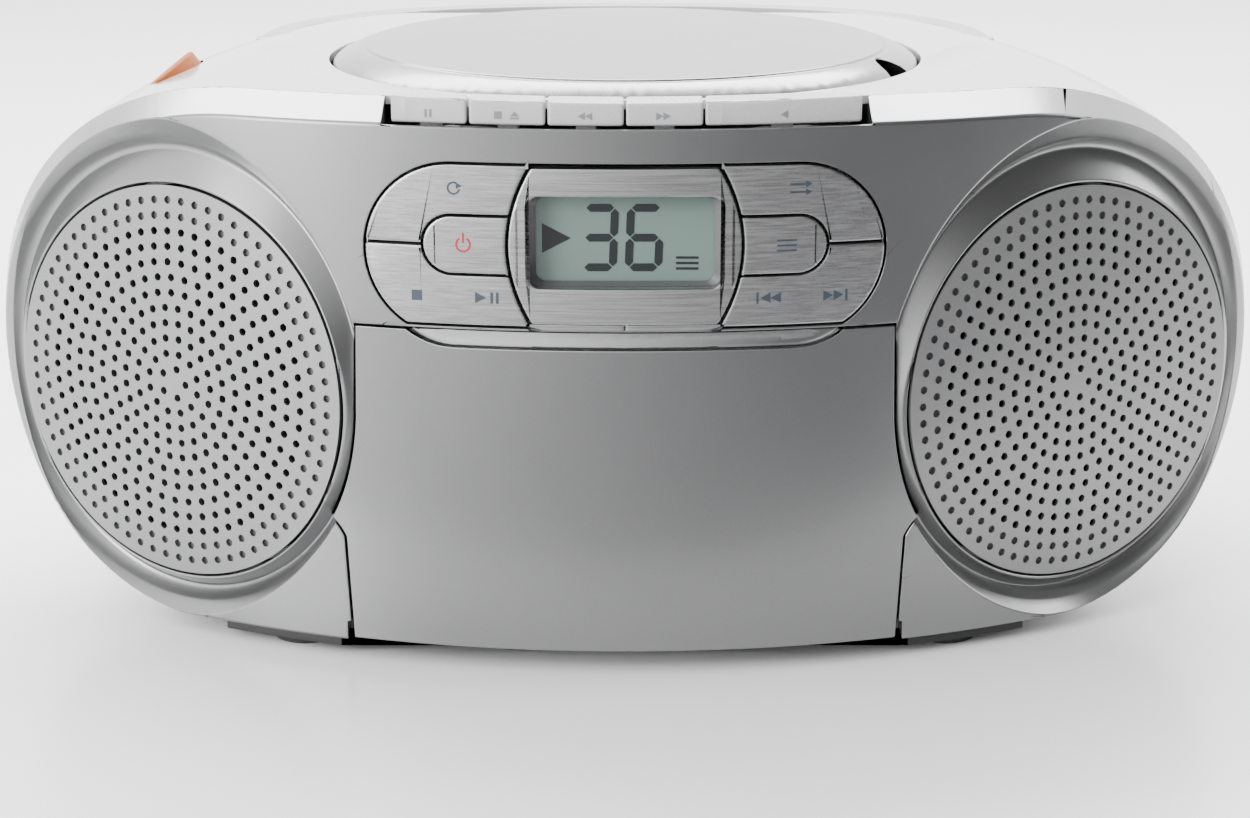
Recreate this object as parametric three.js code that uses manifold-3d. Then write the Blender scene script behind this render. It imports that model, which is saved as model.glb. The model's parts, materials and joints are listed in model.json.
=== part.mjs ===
// Portable compact-disc and cassette player with two loudspeakers.
// Millimetres. X to the right, Y away from the listener, Z up.
// The origin is on the floor, under the middle of the bounding box.
import * as THREE from 'three';
import { mergeVertices } from 'three/addons/utils/BufferGeometryUtils.js';
import Module from 'manifold-3d';

const wasm = await Module();
wasm.setup();

// Driving dimensions ------------------------------------------------------
const FRONT_Y = -118.5;           // foremost line of the front face
const BACK_Y = 118.5;             // flat back wall
const FRONT_R = 246;              // plan radius of the front face
const HALF_W = 172.7;             // half width of the front outline
const TOP_Z = 143.3;              // top crease of the front face
const BOTTOM_Z = 4.8;             // underside of the cabinets
const MID_Z = 72;                 // height of the widest point
const WALL = 2.5;                 // cabinet wall thickness
const GAP = 0.3;                  // clearance between touching pieces
const FOOT_H = 2;                 // rubber feet

const LID = { y: -24.5, topR: 73.7, baseR: 81.3, topZ: 151.5, baseZ: 146.4 };
const WELL = { floorZ: 139, discR: 61.5, topZ: 144.6 };
const SPEAKER = { x: 119.3, y: -81.1, z: 68.2, turn: 29.6, lean: 1.5, plateR: 53 };
const DOOR = { hingeY: -104.6, hingeZ: 14 };
const CASSETTE = { w: 100.4 };
const REEL = { x: 21.25, z: 56 };
const KEYS = { y: -97, z: 138.6, frontSet: 2.9, depth: 6.8, baseZ: 142.9, topZ: 147.6 };
const KEY_EDGES = [-58.5, -38.9, -19.4, 0, 19.6, 59.3];
const KEY_NOTCH = [-60.6, 61.4];
const HANDLE = { x: 106, y: 30, z: 141.2, reach: 81, w: 9, h: 7, pivotR: 4 };
const BATTERY = { z: 79, w: 104, h: 78, depth: 32 };

const group = new THREE.Group();
export default group;

const deg = THREE.MathUtils.degToRad;

function finish(color, roughness, metalness) {
  return new THREE.MeshStandardMaterial({ color, roughness, metalness });
}

const silverPaint = () => finish(0xb4b6b8, 0.38, 0.55);
const whiteGloss = () => finish(0xf1f1ef, 0.16, 0);
const brushed = () => finish(0xc3c4c5, 0.34, 0.85);
const darkPlastic = () => finish(0x26272a, 0.55, 0);
const steel = () => finish(0x9a9ca0, 0.32, 0.95);
const board = () => finish(0x2f6b3f, 0.6, 0);

// Solids ------------------------------------------------------------------
// A closed mesh as a manifold, its faces turned outwards whichever way they were wound.
function solid(geometry) {
  const g = geometry.clone();
  g.deleteAttribute('normal');
  g.deleteAttribute('uv');
  const welded = mergeVertices(g, 1e-4);
  const triVerts = new Uint32Array(welded.index.array);
  const vertProperties = new Float32Array(welded.attributes.position.array);
  const manifold = new wasm.Manifold(new wasm.Mesh({ numProp: 3, vertProperties, triVerts }));
  if (manifold.volume() > 0) return manifold;
  triVerts.reverse();
  return new wasm.Manifold(new wasm.Mesh({ numProp: 3, vertProperties, triVerts }));
}

function toGeometry(manifold) {
  const mesh = manifold.getMesh();
  const g = new THREE.BufferGeometry();
  g.setAttribute('position', new THREE.BufferAttribute(mesh.vertProperties, 3));
  g.setIndex(new THREE.BufferAttribute(mesh.triVerts, 1));
  g.computeVertexNormals();
  return g;
}

function add(name, shape, material) {
  const mesh = new THREE.Mesh(shape.isBufferGeometry ? shape : toGeometry(shape), material);
  mesh.name = name;
  group.add(mesh);
  return mesh;
}

function box(x, y, z) {
  const g = new THREE.BoxGeometry(x[1] - x[0], y[1] - y[0], z[1] - z[0]);
  g.translate((x[0] + x[1]) / 2, (y[0] + y[1]) / 2, (z[0] + z[1]) / 2);
  return solid(g);
}

// A cylinder of radius r from a to b along one axis, centred on c.
function rod(axis, r, a, b, c, sides = 18) {
  const g = new THREE.CylinderGeometry(r, r, b - a, sides);
  const [u, v] = c;
  const mid = (a + b) / 2;
  if (axis === 'x') g.rotateZ(-Math.PI / 2).translate(mid, u, v);
  if (axis === 'y') g.translate(u, mid, v);
  if (axis === 'z') g.rotateX(Math.PI / 2).translate(u, v, mid);
  return solid(g);
}

function lathe(profile, sides = 40) {
  const g = new THREE.LatheGeometry(profile.map(([r, h]) => new THREE.Vector2(r, h)), sides);
  return solid(g.rotateX(Math.PI / 2));
}

// Closed surface through rings of equal point counts; one-point rings are poles.
function loft(rings) {
  const points = rings.flat();
  const starts = [];
  rings.reduce((n, ring) => { starts.push(n); return n + ring.length; }, 0);
  const count = Math.max(...rings.map((ring) => ring.length));
  const index = [];
  for (let k = 0; k + 1 < rings.length; k++) {
    for (let i = 0; i < count; i++) {
      const j = (i + 1) % count;
      const a = starts[k] + (rings[k].length > 1 ? i : 0);
      const b = starts[k] + (rings[k].length > 1 ? j : 0);
      const c = starts[k + 1] + (rings[k + 1].length > 1 ? i : 0);
      const d = starts[k + 1] + (rings[k + 1].length > 1 ? j : 0);
      if (a !== b) index.push(a, b, c);
      if (c !== d) index.push(b, d, c);
    }
  }
  const g = new THREE.BufferGeometry().setFromPoints(points);
  g.setIndex(index);
  return solid(g);
}

// Cabinet form ------------------------------------------------------------
const frontY = (x) => FRONT_Y + FRONT_R - Math.sqrt(FRONT_R * FRONT_R - x * x);

// Front outline: flat top and bottom joined by full, rounded ends.
function frontOutline(samples) {
  const path = new THREE.Path();
  path.moveTo(0, TOP_Z);
  path.lineTo(-100, TOP_Z - 0.7);
  path.bezierCurveTo(-143, TOP_Z - 1, -HALF_W, MID_Z + 40, -HALF_W, MID_Z);
  path.bezierCurveTo(-HALF_W, MID_Z - 36, -149, BOTTOM_Z, -118, BOTTOM_Z);
  path.lineTo(118, BOTTOM_Z);
  path.bezierCurveTo(149, BOTTOM_Z, HALF_W, MID_Z - 36, HALF_W, MID_Z);
  path.bezierCurveTo(HALF_W, MID_Z + 40, 143, TOP_Z - 1, 100, TOP_Z - 0.7);
  path.lineTo(0, TOP_Z);
  const loop = path.getSpacedPoints(samples).slice(0, samples);
  return loop.map((p, i) => {
    const next = loop[(i + 1) % samples];
    const last = loop[(i + samples - 1) % samples];
    const n = new THREE.Vector2(last.y - next.y, next.x - last.x).normalize().negate();
    return { x: p.x, z: p.y, nx: n.x, nz: n.y };
  });
}

const OUTLINE = frontOutline(38);

// The shells swell outward behind the front crease, most of all at the top.
function growth(p) {
  return p.nz > 0 ? 1.2 + 3.8 * p.nz : 1.2 + 1.2 * p.nz;
}

// Depth of the silver band behind the crease.
function bandDepth(p) {
  const overKeys = Math.max(0, 1 - Math.abs(p.x) / 75);
  return 8 + 5.5 * Math.max(0, p.nz) - 3.2 * overKeys * Math.max(0, p.nz);
}

function partingPoint(p, inset) {
  const out = growth(p) - inset;
  return new THREE.Vector3(p.x + out * p.nx, frontY(p.x) + bandDepth(p), p.z + out * p.nz);
}

function rearScale(v, sharpness) {
  return Math.pow(1 - Math.pow(v, sharpness), 1 / sharpness);
}

function bodySolid(inset) {
  const cap = [0.25, 0.5, 0.75, 1].map((k) => OUTLINE.map((p) => {
    const x = (p.x - inset * p.nx) * k;
    return new THREE.Vector3(x, frontY(x) + inset, MID_Z + (p.z - inset * p.nz - MID_Z) * k);
  }));
  const rear = [0, 0.25, 0.45, 0.62, 0.76, 0.87, 0.957].map((v) => OUTLINE.map((p) => {
    const q = partingPoint(p, inset);
    const backEnd = BACK_Y - inset;
    return new THREE.Vector3(
      q.x * rearScale(v, 2.25),
      q.y + (backEnd - q.y) * v / 0.957,
      MID_Z + (q.z - MID_Z) * rearScale(v, q.z > MID_Z ? 7 : 12),
    );
  }));
  return loft([
    [new THREE.Vector3(0, FRONT_Y + inset, MID_Z)], ...cap, ...rear,
    [new THREE.Vector3(0, BACK_Y - inset, MID_Z)],
  ]);
}

// Everything ahead of the line where the two cabinets meet.
function frontRegion(shift) {
  const at = (k, y) => OUTLINE.map((p) => {
    const q = partingPoint(p, 0);
    return new THREE.Vector3(q.x * k, y === undefined ? q.y + shift : y, MID_Z + (q.z - MID_Z) * k);
  });
  return loft([
    [new THREE.Vector3(0, -200, MID_Z)], at(1.3, -200), at(1.3), at(0.6),
    [new THREE.Vector3(0, -95 + shift, MID_Z)],
  ]);
}

// A front-view shape made solid right through the front wall.
function throughFront(shape, curveSegments = 6) {
  const g = new THREE.ExtrudeGeometry(shape, { depth: 60, bevelEnabled: false, curveSegments });
  return solid(g.rotateX(Math.PI / 2).translate(0, -75, 0));
}

// The layer between two depths behind the curved front face.
function faceLayer(from, to) {
  const shape = new THREE.Shape();
  const centre = FRONT_Y + FRONT_R;
  const half = 0.72;
  shape.absarc(0, centre, FRONT_R - from, -Math.PI / 2 - half, -Math.PI / 2 + half, false);
  shape.absarc(0, centre, FRONT_R - to, -Math.PI / 2 + half, -Math.PI / 2 - half, true);
  const g = new THREE.ExtrudeGeometry(shape, { depth: 170, bevelEnabled: false, curveSegments: 20 });
  return solid(g);
}

function onFace(shape, from, to) {
  return throughFront(shape).intersect(faceLayer(from, to));
}

// Loudspeaker places: local x runs across the bezel, y up it and z outwards.
function speakerMatrix(side) {
  const turn = deg(SPEAKER.turn);
  const lean = deg(SPEAKER.lean);
  const out = new THREE.Vector3(
    side * Math.sin(turn) * Math.cos(lean), -Math.cos(turn) * Math.cos(lean), Math.sin(lean),
  );
  const across = new THREE.Vector3(0, 0, 1).cross(out).normalize();
  const up = out.clone().cross(across);
  const matrix = new THREE.Matrix4().makeBasis(across, up, out);
  return matrix.setPosition(side * SPEAKER.x, SPEAKER.y, SPEAKER.z);
}

function ellipse(a, b, lift, h, matrix, sides = 24) {
  return Array.from({ length: sides }, (_, i) => {
    const t = i / sides * 2 * Math.PI;
    return new THREE.Vector3(a * Math.cos(t), lift + b * Math.sin(t), h).applyMatrix4(matrix);
  });
}

function turned(profile, matrix, sides = 20) {
  const g = new THREE.LatheGeometry(profile.map(([r, h]) => new THREE.Vector2(r, h)), sides);
  return solid(g.rotateX(Math.PI / 2).applyMatrix4(matrix));
}

// The valley round each grille, as the volume it takes out of the cabinet.
function bezelCut(matrix) {
  const pole = (h) => [new THREE.Vector3(0, 0, h).applyMatrix4(matrix)];
  const r = SPEAKER.plateR + 0.6;
  return loft([
    pole(-12), ellipse(r, r, 0, -12, matrix), ellipse(r, r, 0, 0.6, matrix),
    ellipse(57.1, 59.8, 2.6, -3.4, matrix), ellipse(60.4, 63.2, 2.6, 0.6, matrix),
    ellipse(75, 78, 2.6, 17, matrix), pole(17),
  ]);
}

// Front-view outlines -----------------------------------------------------
function doorShape(grow) {
  const s = new THREE.Shape();
  s.moveTo(-71.2 - grow, 5.7 - grow);
  s.lineTo(-72.6 - grow, 33.5);
  s.quadraticCurveTo(-73.6 - grow, 36, -76.2 - grow, 38.6);
  s.quadraticCurveTo(-70.2 - grow, 50, -69.2 - grow, 66);
  s.lineTo(-68.6 - grow, 90.6 + grow);
  s.lineTo(68.6 + grow, 90.6 + grow);
  s.lineTo(69.2 + grow, 66);
  s.quadraticCurveTo(70.2 + grow, 50, 76.2 + grow, 38.6);
  s.quadraticCurveTo(73.6 + grow, 36, 72.6 + grow, 33.5);
  s.lineTo(71.2 + grow, 5.7 - grow);
  return s;
}

const CAPSULE = { x: 43.2, z: 111.2, r: 22.2, cutZ: 92.4, splitZ: 112.9 };

// Half of the control capsule, its round end cut off level above the door.
function capsuleShape(grow) {
  const s = new THREE.Shape();
  const r = CAPSULE.r + grow;
  const low = Math.asin((CAPSULE.cutZ - grow - CAPSULE.z) / r);
  s.moveTo(0, CAPSULE.cutZ - grow);
  s.lineTo(CAPSULE.x + r * Math.cos(low), CAPSULE.cutZ - grow);
  s.absarc(CAPSULE.x, CAPSULE.z, r, low, Math.PI / 2, false);
  s.lineTo(-CAPSULE.x, CAPSULE.z + r);
  s.absarc(-CAPSULE.x, CAPSULE.z, r, Math.PI / 2, Math.PI - low, false);
  s.lineTo(0, CAPSULE.cutZ - grow);
  return s;
}

function barrelShape(half, bulge, low, high, grow) {
  const s = new THREE.Shape();
  const mid = (low + high) / 2;
  const swell = half + 2 * bulge + grow;
  s.moveTo(-half - grow, low - grow);
  s.lineTo(half + grow, low - grow);
  s.quadraticCurveTo(swell, mid, half + grow, high + grow);
  s.lineTo(-half - grow, high + grow);
  s.quadraticCurveTo(-swell, mid, -half - grow, low - grow);
  return s;
}

const bezelShape = (grow) => barrelShape(23.3, 5.9, 93, 132.9, grow);

function tongueShape(side, grow) {
  const s = new THREE.Shape();
  const r = 7.3 + grow;
  s.moveTo(side * 20, 113 - r);
  s.lineTo(side * 43.3, 113 - r);
  s.absarc(side * 43.3, 113, r, -Math.PI / 2, Math.PI / 2, side < 0);
  s.lineTo(side * 20, 113 + r);
  return s;
}

function rectangle(x, z, r) {
  const s = new THREE.Shape();
  s.moveTo(x[0] + r, z[0]);
  s.absarc(x[1] - r, z[0] + r, r, -Math.PI / 2, 0, false);
  s.absarc(x[1] - r, z[1] - r, r, 0, Math.PI / 2, false);
  s.absarc(x[0] + r, z[1] - r, r, Math.PI / 2, Math.PI, false);
  s.absarc(x[0] + r, z[0] + r, r, Math.PI, 1.5 * Math.PI, false);
  return s;
}

// Carry handle ------------------------------------------------------------
// The bow is half a superellipse; section offsets are [outwards, upwards].
function handleSweep(section) {
  const steps = 16;
  const power = 2 / 2.4;
  const at = (t) => new THREE.Vector3(
    HANDLE.x * Math.sign(Math.cos(t)) * Math.pow(Math.abs(Math.cos(t)), power),
    HANDLE.y + HANDLE.reach * Math.pow(Math.abs(Math.sin(t)), power),
    HANDLE.z,
  );
  const rings = Array.from({ length: steps + 1 }, (_, i) => {
    const t = i / steps * Math.PI;
    const p = at(t);
    const ahead = at(Math.min(t + 0.01, Math.PI)).sub(at(Math.max(t - 0.01, 0))).normalize();
    const out = new THREE.Vector3(ahead.y, -ahead.x, 0);
    return section.map(([o, u]) => p.clone().addScaledVector(out, o).setZ(p.z + u));
  });
  const middle = (ring) => [ring.reduce((sum, p) => sum.add(p), new THREE.Vector3())
    .divideScalar(ring.length)];
  return loft([middle(rings[0]), ...rings, middle(rings[steps])]);
}

function handleSection(w, h, c) {
  return [
    [-w, -h + c], [-w + c, -h], [w - c, -h], [w, -h + c],
    [w, h - c], [w - c, h], [-w + c, h], [-w, h - c],
  ];
}

function handleChannel(extra) {
  const inner = -HANDLE.w / 2 - 0.8 - extra;
  const low = -HANDLE.h / 2 - 0.8 - extra;
  let cut = handleSweep([[inner, low], [40, low], [40, 20], [inner, 20]]);
  for (const side of [-1, 1]) {
    const ends = [side * (HANDLE.x + inner), side * (HANDLE.x + 6)].sort((a, b) => a - b);
    const r = HANDLE.pivotR + 0.8 + extra;
    cut = cut.add(rod('x', r, ends[0], ends[1], [HANDLE.y, HANDLE.z]));
    // Room ahead of the pivot for the bow to stand up.
    cut = cut.add(box(ends, [HANDLE.y - 5 - extra, HANDLE.y], [HANDLE.z, HANDLE.z + 15]));
  }
  return cut;
}

// Cabinets ----------------------------------------------------------------
const outerBody = bodySolid(0);
const innerBody = bodySolid(WALL);

function frontCabinet() {
  const region = frontRegion(0);
  let part = outerBody.intersect(region).subtract(innerBody);
  for (const side of [-1, 1]) {
    const m = speakerMatrix(side);
    const backing = turned([[50, -8], [72, -8], [72, 14], [50, 14], [50, -8]], m);
    part = part.add(backing.intersect(outerBody).intersect(region));
    part = part.subtract(bezelCut(m));
  }
  part = part.subtract(throughFront(capsuleShape(0.5)));
  part = part.subtract(throughFront(doorShape(0.6)));
  part = part.subtract(box([-73, 73], [-125, -75], [-5, 10]));
  part = part.subtract(box(KEY_NOTCH, [-125, -85], [KEYS.baseZ - 0.4, 155]));
  // Room for the keys to swing down behind the front wall.
  const travel = box(KEY_NOTCH, [-125, -85], [KEYS.baseZ - 3, 155]);
  return part.subtract(travel.intersect(faceLayer(1.6, 22)));
}

function deckScoop(side) {
  const g = new THREE.SphereGeometry(1, 14, 10).scale(12, 54, 5);
  return solid(g.rotateZ(side * deg(-20)).translate(side * 94, -27, 151.4));
}

function rearCabinet() {
  let shell = outerBody.subtract(handleChannel(0));
  for (const side of [-1, 1]) shell = shell.subtract(deckScoop(side));
  shell = shell.subtract(innerBody.subtract(handleChannel(WALL)));
  shell = shell.subtract(frontRegion(GAP));
  shell = shell.subtract(rod('z', LID.baseR + 0.9, 140, 156, [0, LID.y], 40));
  for (const x of [-22, 22]) shell = shell.subtract(box([x - 5, x + 5], [52, 65], [140, 156]));
  shell = shell.subtract(rearPlate(BATTERY.w + 0.8, BATTERY.h + 0.8, 12, [110, 125]));
  shell = shell.subtract(box([-42.3, -17.7], [100, 125], [13.7, 28.3]));
  shell = shell.subtract(box([140, 180], [-16, 16], [70.5, 79.5]));
  shell = shell.subtract(rod('x', 4.3, 140, 180, [0, 45]));
  shell = shell.subtract(box([-180, -140], [-9, 9], [72.5, 77.5]));
  return shell.subtract(bassSolid(0.5, 1.5));
}

function rearPlate(w, h, r, y) {
  const z = [BATTERY.z - h / 2, BATTERY.z + h / 2];
  const shape = rectangle([-w / 2, w / 2], z, r);
  const g = new THREE.ExtrudeGeometry(shape, {
    depth: y[1] - y[0], bevelEnabled: false, curveSegments: 5,
  });
  return solid(g.rotateX(Math.PI / 2).translate(0, y[1], 0));
}

// Lens-shaped button on the left shoulder, lying along Y and tilted outwards.
function bassSolid(grow, sink = 0) {
  const s = new THREE.Shape();
  s.moveTo(0, -21 - grow);
  s.quadraticCurveTo(13 + grow, -2, 3 + grow, 19 + grow);
  s.lineTo(-3 - grow, 19 + grow);
  s.quadraticCurveTo(-11 - grow, -2, 0, -21 - grow);
  const depth = 6.5 + 2 * grow + sink;
  const g = new THREE.ExtrudeGeometry(s, { depth, bevelEnabled: false });
  return solid(g.translate(0, 0, -4 - grow - sink).rotateY(deg(-38)).translate(-126.6, -24, 141.6));
}

function basePlate() {
  const s = new THREE.Shape();
  const arc = Math.asin(108 / FRONT_R);
  s.absarc(0, FRONT_Y + FRONT_R, FRONT_R - 1.5, -Math.PI / 2 - arc, -Math.PI / 2 + arc, false);
  s.lineTo(106, -20);
  s.quadraticCurveTo(98, 60, 60, 90);
  s.lineTo(-60, 90);
  s.quadraticCurveTo(-98, 60, -106, -20);
  const g = new THREE.ExtrudeGeometry(s, { depth: 2.3, bevelEnabled: false, curveSegments: 16 });
  // Set back under the cassette door, whose lower edge swings down and in.
  const plate = solid(g.translate(0, 0, FOOT_H + GAP));
  return plate.subtract(box([-75, 75], [-125, -98], [0, 10]));
}

add('front_cabinet', frontCabinet(), silverPaint());
add('rear_cabinet', rearCabinet(), whiteGloss());
add('base_plate', basePlate(), darkPlastic());
for (const [name, x, y] of [['fl', -86, -89], ['fr', 86, -89], ['rl', -70, 62], ['rr', 70, 62]]) {
  add(`foot_${name}`, rod('z', 9, 0, FOOT_H, [x, y], 20), darkPlastic());
}

// Loudspeakers ------------------------------------------------------------
for (const [name, side] of [['left', -1], ['right', 1]]) {
  const m = speakerMatrix(side);
  const r = SPEAKER.plateR;
  const plate = [[0, 2.1], [28, 1.7], [r, 0.5], [r, -1], [28, 0.3], [0, 0.7]];
  add(`grille_${name}`, turned(plate, m, 24), silverPaint());
  const driver = [
    [0, -22], [14, -22], [46, -7], [52, -6], [52, -9],
    [24, -29], [22, -42], [0, -42],
  ];
  add(`speaker_driver_${name}`, turned(driver, m, 20), darkPlastic());
}

// Cassette door, carrier and tape mechanism --------------------------------
function doorPanel() {
  let part = onFace(doorShape(0), 0, 2.5);
  for (const side of [-1, 1]) {
    const x = [side * 62.5, side * 65.5].sort((a, b) => a - b);
    part = part.add(box(x, [-108.6, DOOR.hingeY + 2.6], [DOOR.hingeZ - 3, DOOR.hingeZ + 3]));
    part = part.subtract(rod('x', 1.8, x[0] - 1, x[1] + 1, [DOOR.hingeY, DOOR.hingeZ], 16));
  }
  return part;
}

add('cassette_door', doorPanel(), silverPaint());

function carrier() {
  const half = CASSETTE.w / 2 + 0.8;
  const y = [-108.6, -95.6];
  const z = [17, 84];
  let part = box([-half - 1.8, half + 1.8], y, z);
  part = part.subtract(box([-half, half], [y[0] + 1.6, y[1] + 5], [z[0] + 1.8, z[1] + 5]));
  return part.subtract(box([-14, 14], [y[0] + 1, y[1] + 5], [z[0] - 5, z[1]]));
}

add('cassette_carrier', carrier(), darkPlastic());
add('door_pin_left', rod('x', 1.5, -68.4, -61, [DOOR.hingeY, DOOR.hingeZ], 14), steel());
add('door_pin_right', rod('x', 1.5, 61, 68.4, [DOOR.hingeY, DOOR.hingeZ], 14), steel());

function tapeChassis() {
  let plate = box([-62, 62], [-92.5, -90.5], [14, 96]);
  for (const x of [-REEL.x, REEL.x]) plate = plate.subtract(rod('y', 2.2, -95, -85, [x, REEL.z]));
  return plate.subtract(rod('y', 1.6, -95, -85, [-12, 76]));
}

function reel() {
  const hub = rod('y', 4.4, -105.5, -93.2, [0, REEL.z], 18);
  const disc = rod('y', 9, -94.6, -93.2, [0, REEL.z], 28);
  let part = hub.add(disc).add(rod('y', 1.7, -94, -84, [0, REEL.z], 14));
  for (let i = 0; i < 3; i++) {
    const vane = new THREE.BoxGeometry(6, 7, 1.2).translate(3, -101.5, 0);
    part = part.add(solid(vane.rotateY(i * 2 * Math.PI / 3).translate(0, 0, REEL.z)));
  }
  return toGeometry(part);
}

add('tape_chassis', tapeChassis(), steel());
add('reel_supply', reel().translate(-REEL.x, 0, 0), whiteGloss());
add('reel_takeup', reel().translate(REEL.x, 0, 0), whiteGloss());
add('capstan_flywheel', rod('y', 17, -88.5, -83.5, [-12, 76], 36)
  .add(rod('y', 1.2, -104, -85, [-12, 76], 14)), steel());
add('tape_motor', rod('y', 15, -82.5, -60, [42, 74], 28)
  .add(rod('y', 3, -88.5, -82, [42, 74], 16)), steel());
add('head_bridge', box([-30, 24], [-96.2, -93.4], [84.4, 88]), steel());
add('tape_head', box([-3, 11], [-104.5, -96.5], [84.2, 88.5]), steel());
add('pinch_roller', rod('y', 4.5, -104.5, -97, [-14, 85.6], 20), darkPlastic());
add('key_shaft', rod('x', 1.5, -60, 60.8, [KEYS.y, KEYS.z], 14), steel());

// Piano keys --------------------------------------------------------------
function pianoKey(x0, x1) {
  const s = new THREE.Shape();
  s.moveTo(-125, KEYS.baseZ);
  s.lineTo(-104, KEYS.baseZ);
  s.lineTo(-104, KEYS.topZ + 2.2);
  s.lineTo(-112, KEYS.topZ + 1.5);
  s.quadraticCurveTo(-116, KEYS.topZ + 0.8, -125, KEYS.topZ);
  const g = new THREE.ExtrudeGeometry(s, { depth: x1 - x0, bevelEnabled: false, curveSegments: 4 });
  g.rotateX(Math.PI / 2).rotateZ(Math.PI / 2).translate(x0, 0, 0);
  const cap = solid(g).intersect(faceLayer(KEYS.frontSet, KEYS.frontSet + KEYS.depth));
  const mid = (x0 + x1) / 2;
  const stem = frontY(mid) + 7.4;
  const arm = box([mid - 2.5, mid + 2.5], [stem, KEYS.y], [KEYS.z - 1, KEYS.z + 2.2]);
  const foot = box([mid - 2.5, mid + 2.5], [stem, stem + 2.6], [KEYS.z - 1, KEYS.baseZ + 1]);
  const eye = rod('x', 3.2, mid - 2.5, mid + 2.5, [KEYS.y, KEYS.z], 20);
  const bore = rod('x', 1.9, mid - 5, mid + 5, [KEYS.y, KEYS.z], 20);
  return cap.add(arm).add(foot).add(eye).subtract(bore);
}

['pause', 'stop_eject', 'rewind', 'forward', 'play'].forEach((name, i) => {
  const edges = [KEY_EDGES[i] + 0.3, KEY_EDGES[i + 1] - 0.3];
  add(`key_${name}`, pianoKey(...edges), whiteGloss());
});

// Display and control capsule ----------------------------------------------
const lens = () => rectangle([-25.6, 25.6], [101.4, 126.6], 4);
add('display_bezel', onFace(bezelShape(0), -0.4, 4).subtract(throughFront(lens())), brushed());
add('display_panel', box([-25.9, 25.9], [-112.5, -110.3], [100.6, 127.4]), finish(0x8fa89f, 0.3, 0));
add('control_board', box([-55, 55], [-105, -103.4], [99, 131]), board());

function capsuleButton(side, upper) {
  const z = upper ? [CAPSULE.splitZ + 0.25, 140] : [85, CAPSULE.splitZ - 0.25];
  const x = side < 0 ? [-80, 0] : [0, 80];
  let part = onFace(capsuleShape(0), -0.3, 4.4).intersect(box(x, [-140, -80], z));
  part = part.subtract(throughFront(bezelShape(0.5)));
  return part.subtract(throughFront(tongueShape(side, 0.45)));
}

function tongueButton(side) {
  return onFace(tongueShape(side, 0), -0.5, 4.4).subtract(throughFront(bezelShape(0.5)));
}

add('button_repeat', capsuleButton(-1, true), brushed());
add('button_stop_play', capsuleButton(-1, false), brushed());
add('button_power', tongueButton(-1), brushed());
add('button_shuffle', capsuleButton(1, true), brushed());
add('button_search', capsuleButton(1, false), brushed());
add('button_program', tongueButton(1), brushed());
add('button_bass', bassSolid(0), finish(0xff8a1e, 0.3, 0));

// Disc lid, well and drive --------------------------------------------------
function discLid() {
  const { topR, baseR, topZ, baseZ } = LID;
  let part = lathe([
    [0, topZ + 0.6], [45, topZ + 0.4], [topR - 1, topZ], [topR + 0.8, topZ - 0.6],
    [baseR - 0.5, baseZ + 1.2], [baseR, baseZ], [baseR - 2, baseZ],
    [topR - 2, topZ - 2.6], [0, topZ - 1.6],
  ], 40);
  const notch = new THREE.CylinderGeometry(7.4, 6.4, 22, 20).rotateZ(-Math.PI / 2);
  part = part.subtract(solid(notch.translate(82, 0, baseZ - 2.2).rotateZ(deg(-25))));
  let lid = solid(toGeometry(part).translate(0, LID.y, 0));
  for (const x of [-22, 22]) {
    lid = lid.add(box([x - 3, x + 3], [50, 60], [145.2, 148]));
    lid = lid.add(rod('x', 2.4, x - 3, x + 3, [60, 146.2], 20));
    lid = lid.subtract(rod('x', 1.5, x - 5, x + 5, [60, 146.2], 16));
  }
  return lid;
}

function discWell() {
  const { floorZ, discR, topZ } = WELL;
  let part = lathe([
    [0, floorZ], [discR, floorZ], [discR + 1.5, topZ - 1], [discR + 4, topZ],
    [LID.baseR, topZ], [LID.baseR, topZ - 1.8], [discR + 5, topZ - 1.8],
    [discR + 3, floorZ - 2], [0, floorZ - 2],
  ], 30);
  part = part.subtract(rod('z', 15.5, 130, 150, [0, 0], 30));
  part = part.subtract(box([17, 57], [-9, 9], [130, 150]));
  const fingerRoom = new THREE.BoxGeometry(30, 14, 20).translate(80, 0, 149.8);
  part = part.subtract(solid(fingerRoom.rotateZ(deg(-25))));
  return toGeometry(part).translate(0, LID.y, 0);
}

add('cd_lid', discLid(), brushed());
add('lid_pin_left', rod('x', 1.2, -26.7, -17.3, [60, 146.2], 12), steel());
add('lid_pin_right', rod('x', 1.2, 17.3, 26.7, [60, 146.2], 12), steel());
add('cd_well', discWell(), darkPlastic());
add('cd_turntable', toGeometry(lathe([
  [0, 144.6], [5, 144.4], [7.3, 142.6], [7.4, 140.6], [14, 140.4], [14, 138.8], [1, 138.8],
  [1, 134], [0, 134],
], 20)).translate(0, LID.y, 0), darkPlastic());
add('cd_motor', rod('z', 12, 118, 133.6, [0, LID.y], 28), steel());
add('cd_pickup', box([20, 34], [LID.y - 8, LID.y + 8], [133.5, 138.2]), darkPlastic());
add('pickup_rail', rod('y', 1.4, LID.y - 20, LID.y + 20, [60, 131.6], 12), steel());

// Handle, rear fittings and inner works -------------------------------------
let handle = handleSweep(handleSection(HANDLE.w / 2, HANDLE.h / 2, 1.6));
for (const side of [-1, 1]) {
  const near = (w) => [side * (HANDLE.x - w), side * (HANDLE.x + w)].sort((a, b) => a - b);
  handle = handle.add(rod('x', HANDLE.pivotR, ...near(HANDLE.w / 2), [HANDLE.y, HANDLE.z], 24));
  handle = handle.subtract(rod('x', 2.2, ...near(12), [HANDLE.y, HANDLE.z], 18));
  const name = side < 0 ? 'handle_pin_left' : 'handle_pin_right';
  add(name, rod('x', 1.8, ...near(4.6), [HANDLE.y, HANDLE.z], 16), steel());
}
add('carry_handle', handle, finish(0xc9cacb, 0.35, 0.2));

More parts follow.
